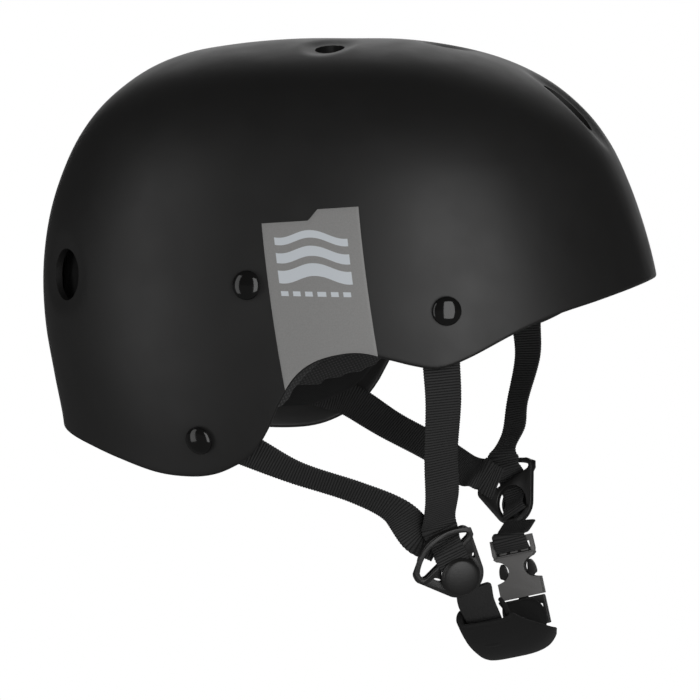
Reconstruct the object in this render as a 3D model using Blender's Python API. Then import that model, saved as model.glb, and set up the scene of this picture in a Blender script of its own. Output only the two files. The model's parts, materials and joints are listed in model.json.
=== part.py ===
"""Half-cut water-sports helmet: shell, foam liner, pads, riveted webbing, dividers, side-release buckle.

All sizes are millimetres; add_object() writes metres. +X is the brow, +Y the wearer's left, +Z up.
The origin is the middle of the crown pad's flat underside, where the head rests.
"""
import math

import bmesh
import bpy
from mathutils import Matrix, Vector

MM = 0.001

# Shell form: rows run from the apex down; each row is front reach, front height, side reach,
# side height, rear reach, rear height.
PROFILE = [
    (0, 24, 0, 24, 0, 24),
    (24, 23.7, 20, 23.3, 24, 23.8),
    (48, 20.3, 40, 20.0, 48, 21.8),
    (68.5, 14.5, 58, 13.5, 68.5, 18.3),
    (87, 5.2, 73, 3.5, 87, 11),
    (102, -7.5, 86, -11, 104, -1.5),
    (112.5, -21.5, 95, -29, 116, -16),
    (120, -37, 100.5, -50, 124.5, -33),
    (126, -53, 103, -72, 130.5, -52),
    (131, -70, 103, -95, 133.5, -74),
    (134.5, -87, 100.5, -118, 133, -97),
    (137, -104, 96, -140, 129.5, -120),
    (138.5, -121, 89, -163, 126, -143),
    (139, -138, 81, -186, 126.5, -166),
]
PLAN_POWER = 2.25
# Side outline of the rim: (x, z) from nape to brim.
RIM = [
    (-150, -143), (-125, -144.5), (-102, -148), (-84, -152), (-63, -156.5), (-47, -157),
    (-36, -155.3), (-26, -151), (-18, -145.5), (-11, -136), (-5, -124), (2, -113),
    (10, -106.5), (20, -103), (30, -102), (42, -104.5), (52, -107), (61, -108),
    (72, -104), (91, -93.5), (105, -87), (120, -82), (134, -77), (150, -70),
]
COLUMNS = 60
ROWS = 12

SHELL_THICKNESS = 3.0
LINER_GAP = 0.8
LINER_POCKET = 8.7
LINER_INNER = 16.0
LINER_END = 0.95
PAD_BACK = 16.9
PAD_THICKNESS = 9.0
# Shares of a side pad's width: where its tongue starts, how long it eases in, its rounded corner.
TONGUE_START = 0.60
TONGUE_EASE = 0.26
TONGUE_CORNER = 0.1
TONGUE_ROUNDING = 0.6
SIDE_TONGUE = 0.085

WEB_WIDTH = 15.5
WEB_THICKNESS = 1.5
WEB_DEPTH = 4.7
RIVET_RADIUS = 6.0
SHANK_RADIUS = 2.2
HOLE_RADIUS = 2.7
WASHER_RADIUS = 6.4
WASHER_DEPTH = 6.3
WASHER_THICKNESS = 1.2

# (x, z) of the three fasteners on each side, and how far their heads stand off the shell.
RIVETS = {"front": (64.0, -84.0), "middle": (-17.0, -74.5), "rear": (-40.5, -140.0)}
HEAD_SEAT = {"front": 0.4, "middle": 0.4, "rear": 0.5}

# Vents: (x, y, half length across the slope, half length along it)
TOP_VENTS = [(-60, 0, 6, 6), (43, 0, 6, 6), (-1, -31, 6, 9), (-1, 31, 6, 9)]
FRONT_VENT_HEIGHT = -3.0
FRONT_VENT_SIZE = (7.5, 14.0)
REAR_VENT_PLACE = (-109.0, -75.0)
REAR_VENT_SIZE = (11.5, 11.0)

# Strap dividers: ring centre, direction across the webbing, direction down the webbing.
DIVIDERS = {
    "right": (Vector((62.2, -61, -196.6)), Vector((0.74, 0.20, 0.64)), Vector((0.50, 0.42, -0.76))),
    "left": (Vector((60, 61, -184.4)), Vector((0.80, -0.17, 0.56)), Vector((0.46, -0.42, -0.78))),
}
# How far each plate is turned against its webbing, in degrees.
PLATE_TURN = {"right": 6.0, "left": 0.0}
PLATE_THICKNESS = 2.6
RING_HOLE = 7.6
RING_OUTER = 10.4
REAR_CORNER = -10.6
FRONT_CORNER = 13.0
CORNER_HEIGHT = 11.4
CORNER_RADIUS = 3.8
ARCH_TOP = 20.0
LOCK_RADIUS = 8.3
LOCK_SEAT = 3.9
LOCK_HINGE = 8.3
PIVOT_DROP = 11.7
PIVOT_DEPTH = 2.9

# Buckle frame: a point half way down the plug and the direction out of the socket's mouth.
PLUG_MIDDLE = Vector((67, 44, -217))
PLUG_LEAN = 0.25
MOUTH = 19.0
MIDDLE = 11.5
SOCKET_HALF = (9.7, 3.5)
CAVITY_HALF = (8.8, 2.5)
PRONG_HALF = 1.75
# Root of each prong in the buckle frame, where it bends.
PRONG_ROOT = (5.3, 18.6)


# ---------------------------------------------------------------- surface of the shell

def spline(rows, place):
    """Catmull-Rom reading of evenly spaced rows at place 0..1."""
    last = len(rows) - 1
    k = min(max(place, 0.0) * last, last - 1e-9)
    i = int(k)
    f = k - i
    before = rows[i - 1] if i else [2 * p - q for p, q in zip(rows[0], rows[1])]
    after = rows[i + 2] if i + 2 <= last else [2 * p - q for p, q in zip(rows[-1], rows[-2])]
    out = []
    for a, b, c, d in zip(before, rows[i], rows[i + 1], after):
        bend = (2 * a - 5 * b + 4 * c - d) * f * f + (3 * b - 3 * c + d - a) * f ** 3
        out.append(0.5 * (2 * b + (c - a) * f + bend))
    return out


MIRRORED = [(-a, b, -c, d, -e, g) for a, b, c, d, e, g in reversed(PROFILE[1:3])] + PROFILE


def profile(t):
    """Profile row at t, with the rows mirrored over the apex so that the crown is smooth."""
    last = len(MIRRORED) - 1
    return spline(MIRRORED, (2 + t * (last - 2)) / last)


def shell_point(phi, t):
    front, front_z, side, side_z, rear, rear_z = profile(t)
    c = math.cos(phi)
    s = math.sin(phi)
    reach, end_z = (front, front_z) if c >= 0 else (rear, rear_z)
    if reach < 1e-6:
        return Vector((0, 0, end_z))
    radius = ((abs(c) / reach) ** PLAN_POWER + (abs(s) / side) ** PLAN_POWER) ** (-1 / PLAN_POWER)
    return Vector((radius * c, radius * s, side_z + (end_z - side_z) * c * c))


def shell_normal(phi, t):
    if t < 0.01:
        return Vector((0, 0, 1))
    step = 0.004
    around = shell_point(phi + step, t) - shell_point(phi - step, t)
    down = shell_point(phi, t + step) - shell_point(phi, t - step)
    return down.cross(around).normalized()


def layer_point(phi, t, offset):
    return shell_point(phi, t) + shell_normal(phi, t) * offset


def rim_height(x):
    """Height of the rim's side outline at x, by a Hermite curve through RIM."""
    i = 1
    while i < len(RIM) - 3 and RIM[i + 1][0] < x:
        i += 1
    (x0, z0), (x1, z1), (x2, z2), (x3, z3) = RIM[i - 1:i + 3]
    span = x2 - x1
    f = (x - x1) / span
    m1 = (z2 - z0) / (x2 - x0) * span
    m2 = (z3 - z1) / (x3 - x1) * span
    return ((2 * f ** 3 - 3 * f ** 2 + 1) * z1 + (f ** 3 - 2 * f ** 2 + f) * m1
            + (3 * f ** 2 - 2 * f ** 3) * z2 + (f ** 3 - f ** 2) * m2)


def rim_t(phi):
    """Profile place where the surface meets the rim at azimuth phi."""
    low, high = 0.35, 1.0
    for _ in range(30):
        t = (low + high) / 2
        p = shell_point(phi, t)
        if p.z > rim_height(p.x):
            low = t
        else:
            high = t
    return (low + high) / 2


def find_place(x, z, side):
    """(phi, t) of the surface point at side view (x, z) on the side with that sign of y."""
    phi = math.atan2(side * 100, x)
    t = 0.6
    step = 1e-4
    for _ in range(12):
        p = shell_point(phi, t)
        dp = (shell_point(phi + step, t) - p) / step
        dt = (shell_point(phi, t + step) - p) / step
        det = dp.x * dt.z - dt.x * dp.z
        ex, ez = x - p.x, z - p.z
        phi += (ex * dt.z - dt.x * ez) / det
        t += (dp.x * ez - ex * dp.z) / det
    return phi, t


def side_point(x, z, side, offset):
    phi, t = find_place(x, z, side)
    return layer_point(phi, t, offset)


# ---------------------------------------------------------------- mesh helpers

def material(name, color, roughness, metallic=0.0):
    found = bpy.data.materials.get(name)
    if found:
        return found
    new = bpy.data.materials.new(name)
    new.use_nodes = True
    shader = new.node_tree.nodes["Principled BSDF"]
    shader.inputs["Base Color"].default_value = (*color, 1)
    shader.inputs["Roughness"].default_value = roughness
    shader.inputs["Metallic"].default_value = metallic
    return new


def shell_black():
    return material("matte_black_abs", (0.014, 0.014, 0.015), 0.55)


def foam_black():
    return material("eva_foam", (0.02, 0.02, 0.02), 0.9)


def pad_fabric():
    return material("pad_fabric", (0.03, 0.03, 0.031), 0.85)


def webbing():
    return material("webbing", (0.018, 0.018, 0.019), 0.75)


def rivet_black():
    return material("gloss_black_rivet", (0.01, 0.01, 0.01), 0.15)


def nylon():
    return material("buckle_nylon", (0.03, 0.031, 0.033), 0.42)


def decal_grey():
    return material("decal_grey", (0.22, 0.22, 0.22), 0.5)


def neoprene():
    return material("neoprene", (0.025, 0.025, 0.026), 0.9)


def add_object(name, points, faces, finish, smooth=True, origin=None):
    """Object from points in mm. Its origin is at origin (mm), where its joint's axis is."""
    centre = Vector(origin) if origin else Vector((0, 0, 0))
    mesh = bpy.data.meshes.new(name)
    mesh.from_pydata([(Vector(p) - centre) * MM for p in points], [], faces)
    bm = bmesh.new()
    bm.from_mesh(mesh)
    bmesh.ops.recalc_face_normals(bm, faces=bm.faces)
    bm.to_mesh(mesh)
    bm.free()
    if smooth:
        mesh.shade_smooth()
        mesh.set_sharp_from_angle(angle=math.radians(35))
    mesh.materials.append(finish)
    obj = bpy.data.objects.new(name, mesh)
    obj.location = centre * MM
    bpy.context.scene.collection.objects.link(obj)
    return obj


def frame_at(origin, x_axis, up):
    """Matrix whose z is up and whose x is x_axis made square to it."""
    z = Vector(up).normalized()
    x = (Vector(x_axis) - z * z.dot(Vector(x_axis))).normalized()
    y = z.cross(x)
    matrix = Matrix((x, y, z)).transposed().to_4x4()
    matrix.translation = Vector(origin)
    return matrix


def grid_faces(rows, columns, start, closed):
    """Quads of a grid whose vertices are numbered row by row from start."""
    faces = []
    for i in range(rows - 1):
        for j in range(columns if closed else columns - 1):
            k = (j + 1) % columns
            a = start + i * columns
            faces.append((a + j, a + k, a + columns + k, a + columns + j))
    return faces


def slab(name, front, back, finish, **more):
    """Closed solid between two grids of points with open edges."""
    rows, columns = len(front), len(front[0])
    points = [p for row in front for p in row] + [p for row in back for p in row]
    size = rows * columns
    faces = grid_faces(rows, columns, 0, False) + grid_faces(rows, columns, size, False)
    edge = [j for j in range(columns)]
    edge += [i * columns + columns - 1 for i in range(1, rows)]
    edge += [(rows - 1) * columns + j for j in range(columns - 2, -1, -1)]
    edge += [i * columns for i in range(rows - 2, 0, -1)]
    for a, b in zip(edge, edge[1:] + edge[:1]):
        faces.append((a, b, b + size, a + size))
    return add_object(name, points, faces, finish, **more)


def tube(name, sections, finish, **more):
    """Closed solid skinned over equal closed sections, with flat ends."""
    count = len(sections[0])
    points = [p for section in sections for p in section]
    faces = grid_faces(len(sections), count, 0, True)
    faces.append(tuple(range(count)))
    faces.append(tuple(range(len(points) - count, len(points))))
    return add_object(name, points, faces, finish, **more)


def turned(name, outline, segments, matrix, finish, **more):
    """Solid turned about the local z axis. An outline from axis to axis is capped by poles."""
    points = []
    rings = []
    for radius, height in outline:
        if radius == 0:
            rings.append([len(points)])
            points.append(matrix @ Vector((0, 0, height)))
            continue
        rings.append(list(range(len(points), len(points) + segments)))
        for k in range(segments):
            turn = 2 * math.pi * k / segments
            spot = Vector((radius * math.cos(turn), radius * math.sin(turn), height))
            points.append(matrix @ spot)
    faces = []
    pairs = list(zip(rings, rings[1:]))
    if len(rings[0]) > 1:
        pairs.append((rings[-1], rings[0]))
    for upper, lower in pairs:
        for k in range(segments):
            n = (k + 1) % segments
            if len(upper) == 1:
                faces.append((upper[0], lower[k], lower[n]))
            elif len(lower) == 1:
                faces.append((upper[k], lower[0], upper[n]))
            else:
                faces.append((upper[k], lower[k], lower[n], upper[n]))
    return add_object(name, points, faces, finish, **more)


def plate(name, outline, holes, low, high, matrix, finish, **more):
    """Flat plate between local heights low and high, with holes."""
    bm = bmesh.new()
    edges = []
    for loop in [outline] + holes:
        verts = [bm.verts.new((x, y, low)) for x, y in loop]
        edges += [bm.edges.new((a, b)) for a, b in zip(verts, verts[1:] + verts[:1])]
    bmesh.ops.triangle_fill(bm, edges=edges, use_beauty=True, normal=(0, 0, 1))
    made = bmesh.ops.extrude_face_region(bm, geom=bm.faces[:])
    lifted = [v for v in made["geom"] if isinstance(v, bmesh.types.BMVert)]
    bmesh.ops.translate(bm, verts=lifted, vec=(0, 0, high - low))
    bm.verts.index_update()
    points = [matrix @ v.co for v in bm.verts]
    faces = [tuple(v.index for v in f.verts) for f in bm.faces]
    bm.free()
    return add_object(name, points, faces, finish, **more)


def box_points(low, high, matrix):
    corners = []
    for x in (low[0], high[0]):
        for y in (low[1], high[1]):
            for z in (low[2], high[2]):
                corners.append(matrix @ Vector((x, y, z)))
    return corners


BOX_FACES = [(0, 1, 3, 2), (4, 6, 7, 5), (0, 4, 5, 1), (2, 3, 7, 6), (0, 2, 6, 4), (1, 5, 7, 3)]


def box(name, low, high, matrix, finish, **more):
    return add_object(name, box_points(low, high, matrix), BOX_FACES, finish, smooth=False, **more)


def hide_cutter(cutter):
    cutter.hide_render = True
    cutter.display_type = "WIRE"


def combine(target, other, operation):
    """Boolean of target with a guide object that stays out of the model."""
    hide_cutter(other)
    change = target.modifiers.new(operation.lower(), "BOOLEAN")
    change.operation = operation
    change.solver = "EXACT"
    change.object = other


def arc(centre, radius, start, end, steps):
    out = []
    for k in range(steps + 1):
        turn = math.radians(start + (end - start) * k / steps)
        out.append((centre[0] + radius * math.cos(turn), centre[1] + radius * math.sin(turn)))
    return out


def smooth_rows(rows, count):
    """Rows of numbers read evenly along a Catmull-Rom curve through the given rows."""
    return [spline(rows, k / (count - 1)) for k in range(count)]


def ribbon(name, stations, count, finish=None, **more):
    """Flat webbing through stations (point, width direction, width)."""
    rows = [tuple(p) + tuple(Vector(w).normalized()) + (width,) for p, w, width in stations]
    path = smooth_rows(rows, count)
    sections = []
    for k, row in enumerate(path):
        ahead = Vector(path[min(k + 1, count - 1)][:3])
        behind = Vector(path[max(k - 1, 0)][:3])
        along = (ahead - behind).normalized()
        middle = Vector(row[:3])
        across = Vector(row[3:6])
        across = (across - along * across.dot(along)).normalized() * (row[6] / 2)
        out = along.cross(across).normalized() * (WEB_THICKNESS / 2)
        corners = (across + out, out - across, -across - out, across - out)
        sections.append([middle + corner for corner in corners])
    return tube(name, sections, finish or webbing(), **more)


# ---------------------------------------------------------------- shell and liner

def dome(name, outer, inner, end, finish):
    """Cap between two offsets of the shell surface; outer and inner give offset at s."""
    points = [layer_point(0, 0, outer(0)), layer_point(0, 0, inner(0))]
    for offset in (outer, inner):
        for i in range(1, ROWS + 1):
            s = end * i / ROWS
            for j in range(COLUMNS):
                phi = 2 * math.pi * j / COLUMNS
                points.append(layer_point(phi, s * rim_t(phi), offset(s)))
    size = ROWS * COLUMNS
    faces = []
    for start, pole in ((2, 0), (2 + size, 1)):
        faces += grid_faces(ROWS, COLUMNS, start, True)
        for j in range(COLUMNS):
            faces.append((pole, start + j, start + (j + 1) % COLUMNS))
    rim = 2 + size - COLUMNS
    for j in range(COLUMNS):
        k = (j + 1) % COLUMNS
        faces.append((rim + j, rim + k, rim + k + size, rim + j + size))
    return add_object(name, points, faces, finish)


def liner_outer(s):
    """The liner steps back from the shell low down, where webbing and washers lie behind it."""
    f = min(max((s - 0.42) / 0.14, 0), 1)
    f = f * f * (3 - 2 * f)
    return -(SHELL_THICKNESS + LINER_GAP) * (1 - f) - LINER_POCKET * f


def vent_prism(phi, t, half_across, half_along, reach):
    """Elliptic prism through the surface at (phi, t), from 6 mm outside to reach inside."""
    middle = shell_point(phi, t)
    normal = shell_normal(phi, t)
    down = shell_point(phi, t + 0.01) - middle
    matrix = frame_at(middle, down, normal)
    sections = []
    for height in (6, -reach):
        ring = []
        for k in range(20):
            turn = 2 * math.pi * k / 20
            spot = Vector((half_along * math.cos(turn), half_across * math.sin(turn), height))
            ring.append(matrix @ spot)
        sections.append(ring)
    return sections


def top_place(x, y):
    """(phi, t) of the surface over plan point (x, y)."""
    phi = math.atan2(y, x)
    low, high = 0.0, 0.8
    for _ in range(30):
        t = (low + high) / 2
        if shell_point(phi, t).to_2d().length < math.hypot(x, y):
            low = t
        else:
            high = t
    return phi, t


def prisms(name, rings):
    """One guide object holding several separate prisms."""
    points, faces = [], []
    for sections in rings:
        start = len(points)
        count = len(sections[0])
        points += sections[0] + sections[1]
        faces += grid_faces(2, count, start, True)
        faces.append(tuple(range(start, start + count)))
        faces.append(tuple(range(start + count, start + 2 * count)))
    return add_object(name, points, faces, foam_black())


def rivet_matrix(place, side):
    phi, t = find_place(*RIVETS[place], side)
    return frame_at(shell_point(phi, t), (0, 0, 1), shell_normal(phi, t))


def front_vent_place():
    low, high = 0.1, 0.7
    for _ in range(30):
        t = (low + high) / 2
        if shell_point(0, t).z > FRONT_VENT_HEIGHT:
            low = t
        else:
            high = t
    return 0.0, t


def through_vents(reach, extra):
    rings = []
    for x, y, half_along_x, half_along_y in TOP_VENTS:
        along, across = (half_along_y, half_along_x) if y else (half_along_x, half_along_y)
        rings.append(vent_prism(*top_place(x, y), across + extra, along + extra, reach))
    across, along = FRONT_VENT_SIZE
    rings.append(vent_prism(*front_vent_place(), across + extra, along + extra, reach))
    return rings


def make_shell():
    shell = dome("outer_shell", lambda s: 0, lambda s: -SHELL_THICKNESS, 1.0, shell_black())
    rings = through_vents(8, 0)
    for side in (-1, 1):
        phi, t = find_place(*REAR_VENT_PLACE, side)
        rings.append(vent_prism(phi, t, *REAR_VENT_SIZE, 8))
        for place in RIVETS:
            matrix = rivet_matrix(place, side)
            rings.append([[matrix @ Vector((x, y, h)) for x, y in arc((0, 0), HOLE_RADIUS, 0, 330, 11)]
                          for h in (6, -6)])
    combine(shell, prisms("shell_openings", rings), "DIFFERENCE")


def make_liner():
    liner = dome("foam_liner", liner_outer, lambda s: -LINER_INNER, LINER_END, foam_black())
    combine(liner, prisms("liner_openings", through_vents(24, 1.0)), "DIFFERENCE")


def pad_low(low, tongue, u):
    """Rim share of a pad's low edge at u; a tongue hangs past the rim near the end azimuth."""
    f = min(max((u - TONGUE_START) / TONGUE_EASE, 0), 1)
    f = f * f * (3 - 2 * f)
    corner = max((u - 1 + TONGUE_CORNER) / TONGUE_CORNER, 0)
    return low + tongue * f * (1 - TONGUE_ROUNDING * corner ** 2)


def make_pad(name, start, end, high, low, tongue=0.0):
    """Pad on the liner's inside between azimuths start and end and rim shares high and low."""
    columns, rows = 11, 8
    front, back = [], []
    for i in range(rows):
        v = i / (rows - 1)
        front_row, back_row = [], []
        for j in range(columns):
            u = j / (columns - 1)
            phi = math.radians(start + (end - start) * u)
            t = (high + (pad_low(low, tongue, u) - high) * v) * rim_t(phi)
            crown = (1 - abs(2 * u - 1) ** 5) * (1 - abs(2 * v - 1) ** 4)
            rise = PAD_THICKNESS * (0.45 + 0.55 * crown)
            front_row.append(layer_point(phi, t, -PAD_BACK - rise))
            back_row.append(layer_point(phi, t, -PAD_BACK))
        front.append(front_row)
        back.append(back_row)
    slab(name, front, back, pad_fabric())


def make_pads():
    make_pad("brow_pad", -36, 36, 0.60, 0.93)
    make_pad("nape_pad", 149, 211, 0.58, 0.93)
    make_pad("temple_pad_right", 290, 318, 0.60, 0.92)
    make_pad("temple_pad_left", 70, 42, 0.60, 0.92)
    make_pad("side_pad_right", 218, 280, 0.58, 0.965, SIDE_TONGUE)
    make_pad("side_pad_left", 142, 80, 0.58, 0.965, SIDE_TONGUE)
    outline = [(0, 0), (17, 0), (19.4, 1.0), (20.2, 2.6), (19, 4.2), (12, 6.1), (0, 7.1)]
    turned("crown_pad", outline, 24, Matrix.Identity(4), pad_fabric())


# ---------------------------------------------------------------- fasteners and decals

def make_fasteners():
    head = [(0, 3.0), (2.6, 2.7), (4.6, 1.8), (5.7, 0.8), (RIVET_RADIUS, 0), (SHANK_RADIUS, 0)]
    near = -WASHER_DEPTH
    far = -WASHER_DEPTH - WASHER_THICKNESS
    ring = [(HOLE_RADIUS, near), (WASHER_RADIUS, near), (WASHER_RADIUS, far), (HOLE_RADIUS, far)]
    for side, word in ((-1, "right"), (1, "left")):
        for place in RIVETS:
            matrix = rivet_matrix(place, side)
            rivet = [(r, h + HEAD_SEAT[place]) for r, h in head]
            rivet += [(SHANK_RADIUS, far - 0.3), (0, far - 0.3)]
            turned(f"rivet_{place}_{word}", rivet, 14, matrix, rivet_black())
            turned(f"washer_{place}_{word}", ring, 12, matrix, nylon())


def decal_edge(across):
    """Top corner (x, z) of the decal at across 0..1 from rear to front, with its raised tab."""
    x = -11.4 + 39.7 * across
    z = -49.5 + 3.0 * across
    if across > 0.49:
        z += min((across - 0.49) / 0.09, 1) * 4.3
    return x, z


def make_decals():
    columns, rows = 9, 8
    for side, word in ((-1, "right"), (1, "left")):
        front, back = [], []
        for i in range(rows):
            front_row, back_row = [], []
            for j in range(columns):
                x0, z0 = decal_edge(j / (columns - 1))
                z1 = z0
                for _ in range(12):
                    z1 = rim_height(x0 + 0.145 * (z0 - z1)) + 0.8
                z = z0 + (z1 - z0) * i / (rows - 1)
                phi, t = find_place(x0 + 0.145 * (z0 - z), z, side)
                front_row.append(layer_point(phi, t, 0.85))
                back_row.append(layer_point(phi, t, 0.4))
            front.append(front_row)
            back.append(back_row)
        slab(f"side_decal_{word}", front, back, decal_grey())


# ---------------------------------------------------------------- dividers and their locks

def divider_matrix(word):
    """Local x along the chord, y up towards the arch, z out of the outer face."""
    centre, chord, down = DIVIDERS[word]
    x = chord.normalized()
    y = (-down + x * x.dot(down)).normalized()
    z = x.cross(y)
    if z.y * centre.y < 0:
        z = -z
    matrix = Matrix((x, y, z)).transposed().to_4x4()
    matrix.translation = centre
    return matrix


def plate_matrix(word):
    return divider_matrix(word) @ Matrix.Rotation(math.radians(PLATE_TURN[word]), 4, "Z")


def divider_outline():
    """Ring at the bottom, two corners and an arched bar on top."""
    middle = (REAR_CORNER + FRONT_CORNER) / 2
    half_chord = (FRONT_CORNER - REAR_CORNER) / 2
    rise = ARCH_TOP - CORNER_HEIGHT - CORNER_RADIUS * 0.8
    radius = (half_chord ** 2 + rise ** 2) / (2 * rise)
    half = math.degrees(math.asin(half_chord / radius))
    outline = arc((0, 0), RING_OUTER, 205, 335, 10)
    outline += arc((FRONT_CORNER, CORNER_HEIGHT), CORNER_RADIUS, -25, 90 - half * 0.8, 4)
    outline += arc((middle, ARCH_TOP - radius), radius, 90 - half * 0.78, 90 + half * 0.78, 8)
    outline += arc((REAR_CORNER, CORNER_HEIGHT), CORNER_RADIUS, 90 + half * 0.8, 205, 4)
    return outline


def slot_outline():
    """Arched webbing slot between the arch bar and the centre bar."""
    upper = arc((1.2, -1.4), 18.7, 42, 130, 8)
    ends = [(-11.6, 10.4), (-10.4, 9.7), (13.6, 9.7), (14.8, 10.4)]
    return upper + ends


def make_dividers():
    for word in DIVIDERS:
        matrix = plate_matrix(word)
        half = PLATE_THICKNESS / 2
        ring = arc((0, 0), RING_HOLE, 0, 345, 23)
        plate(f"strap_divider_{word}", divider_outline(), [ring, slot_outline()], -half, half,
              matrix, nylon())
        hinge = matrix @ Vector((0, LOCK_HINGE, LOCK_SEAT))
        outline = [(0, 2.9), (3.5, 2.75), (6.4, 2.2), (LOCK_RADIUS, 1.1), (LOCK_RADIUS, 0.35),
                   (7.4, 0), (0, 0)]
        seat = matrix @ Matrix.Translation((0, 0, LOCK_SEAT))
        turned(f"divider_lock_{word}", outline, 20, seat, nylon(), origin=hinge)


# ---------------------------------------------------------------- webbing

def shell_stations(spots, side):
    """Webbing stations against the inside of the shell, through side view spots (x, z, depth)."""
    places = [side_point(x, z, side, -depth) for x, z, depth in spots]
    stations = []
    for k, (x, z, _) in enumerate(spots):
        along = places[min(k + 1, len(spots) - 1)] - places[max(k - 1, 0)]
        across = along.cross(shell_normal(*find_place(x, z, side))) * side
        stations.append((places[k], across.normalized(), WEB_WIDTH))
    return stations


def divider_stations(word, rows):
    matrix = divider_matrix(word)
    across = matrix.to_3x3() @ Vector((1, 0, 0))
    return [(matrix @ Vector(place), across, width) for place, width in rows]


def cut_rivet_hole(strap, place, side):
    matrix = rivet_matrix(place, side)
    rings = [[[matrix @ Vector((x, y, h)) for x, y in arc((0, 0), HOLE_RADIUS, 0, 330, 11)]
              for h in (-2, -8)]]
    combine(strap, prisms(f"{strap.name}_hole", rings), "DIFFERENCE")


FRONT_ROUTE = {
    "right": [((61, -85.5, -122), (0.85, 0.50, 0.05)), ((58.6, -79, -146), (0.75, 0.62, 0.15)),
              ((58.0, -74, -162), (0.78, 0.48, 0.35))],
    "left": [((61.5, 85.5, -121), (0.85, -0.50, 0.05)), ((58.4, 78, -141), (0.75, -0.62, 0.15)),
             ((57.8, 73, -153), (0.78, -0.48, 0.35))],
}
REAR_ROUTE = {
    "right": [((-2, -83, -153.5), (0.44, -0.60, 0.66)), ((22, -76.5, -161.8), (0.45, -0.62, 0.64)),
              ((38, -71.5, -169.8), (0.46, -0.45, 0.76))],
    "left": [((-2, 83, -154.2), (0.44, 0.60, 0.66)), ((22, 77, -164.5), (0.45, 0.62, 0.64)),
             ((37, 67.6, -171.6), (0.50, 0.38, 0.76))],
}
# Last points of each rear strap, in its divider's frame.
REAR_END = {
    "right": [(-3.0, 21.8, -7.4), (-0.6, 16.8, -6.4), (1.2, 13.0, -5.8)],
    "left": [(-4.6, 16.4, -9.6), (-2.0, 11.6, -8.6), (0.4, 8.0, -7.6)],
}


def make_side_straps():
    for side, word in ((-1, "right"), (1, "left")):
        stations = shell_stations([(64.6, -75, WEB_DEPTH), (64, -84, WEB_DEPTH),
                                   (63.2, -94, WEB_DEPTH), (62.4, -105, WEB_DEPTH + 1)], side)
        stations += [(p, w, WEB_WIDTH) for p, w in FRONT_ROUTE[word]]
        stations += divider_stations(word, [
            ((7.4, 21.8, -3.7), WEB_WIDTH), ((5.4, 17.6, -3.1), 15.0),
            ((4.4, 14.6, -2.2), 13.8), ((3.7, 13.2, 0.2), 13.6), ((3.0, 11.4, 2.45), 13.6),
            ((2.0, 7.6, 2.65), 13.6), ((0.9, 3.2, 2.5), 12.0), ((0.3, 0.4, 1.4), 10.8),
            ((0, -2.2, -1.2), 10.8), ((0, -4.3, -2.6), 12.0), ((0, -6.6, -2.9), 13.4)])
        strap = ribbon(f"front_strap_{word}", stations, 46)
        cut_rivet_hole(strap, "front", side)

        stations = shell_stations([(-51, -137.6, WEB_DEPTH), (-43, -139.5, WEB_DEPTH),
                                   (-33, -142.2, WEB_DEPTH), (-22, -145.8, WEB_DEPTH + 1)], side)
        stations += [(p, w, WEB_WIDTH) for p, w in REAR_ROUTE[word]]
        stations += divider_stations(word, [(place, WEB_WIDTH) for place in REAR_END[word]])
        strap = ribbon(f"rear_strap_{word}", stations, 30)
        cut_rivet_hole(strap, "rear", side)


# ---------------------------------------------------------------- buckle

def pivot_point(word):
    return divider_matrix(word) @ Vector((0, -PIVOT_DROP, -PIVOT_DEPTH))


def buckle_matrix():
    """Local x across, y out of the socket's mouth, z out from the jaw; y is 0 at the web slot."""
    reach = PLUG_MIDDLE - pivot_point("right")
    out = Vector((PLUG_LEAN, 0, -1))
    out = (out - reach * (out.dot(reach) / reach.length_squared)).normalized()
    across = out.cross(reach).normalized()
    z = across.cross(out)
    matrix = Matrix((across, out, z)).transposed().to_4x4()
    matrix.translation = PLUG_MIDDLE - out * MIDDLE
    return matrix


def leaving_across(word):
    """Width direction of the webbing under a divider, part way to the buckle's."""
    divider = divider_matrix(word).to_3x3() @ Vector((1, 0, 0))
    buckle = buckle_matrix().to_3x3() @ Vector((1, 0, 0))
    return (divider + buckle).normalized()


def socket_outline():
    """Web frame, pinched waist with a bite each side for the prongs, and the mouth sleeve."""
    half = SOCKET_HALF[0]
    right = [(half, MOUTH), (half, 11.4)]
    right += [(half + 6.2 * math.cos(math.radians(a)), 6.3 + 4.9 * math.sin(math.radians(a)))
              for a in (105, 130, 155, 180, 205, 230, 255)]
    right += [(half - 0.5, 0.6), (half + 0.1, -1.6), (half - 0.1, -8.0)]
    return right + [(-x, y) for x, y in reversed(right)]


def rect(low_x, high_x, low_y, high_y):
    return [(low_x, low_y), (high_x, low_y), (high_x, high_y), (low_x, high_y)]


def make_socket():
    matrix = buckle_matrix()
    half_x, half_z = SOCKET_HALF
    web_slot = rect(-8.1, 8.1, -5.2, -0.7)
    socket = plate("buckle_socket", socket_outline(), [web_slot], -half_z, half_z, matrix, nylon())
    wide, tall = CAVITY_HALF
    cavity = box("socket_cavity", (-wide, 1.6, -tall), (wide, MOUTH + 4, tall), matrix, nylon())
    combine(socket, cavity, "DIFFERENCE")
    points, faces = [], []
    for low, high in ((-half_z - 1, -1.9), (1.9, half_z + 1)):
        start = len(points)
        points += box_points((-half_x - 1, -9, low), (half_x + 1, 0, high), matrix)
        faces += [tuple(start + k for k in face) for face in BOX_FACES]
    thinning = add_object("socket_frame_relief", points, faces, nylon(), smooth=False)
    combine(socket, thinning, "DIFFERENCE")


def prong_outline(side):
    """Spring arm and hooked head, on the side with that sign."""
    shape = [(4.2, PRONG_ROOT[1]), (4.3, 10), (4.7, 7.2), (5.2, 4.2), (6.2, 3.0), (7.1, 3.4), (8.0, 5.2),
             (8.4, 7.4), (8.2, 9.2), (7.2, 9.8), (6.6, 11), (6.5, PRONG_ROOT[1])]
    return [(side * x, y) for x, y in shape]


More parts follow.
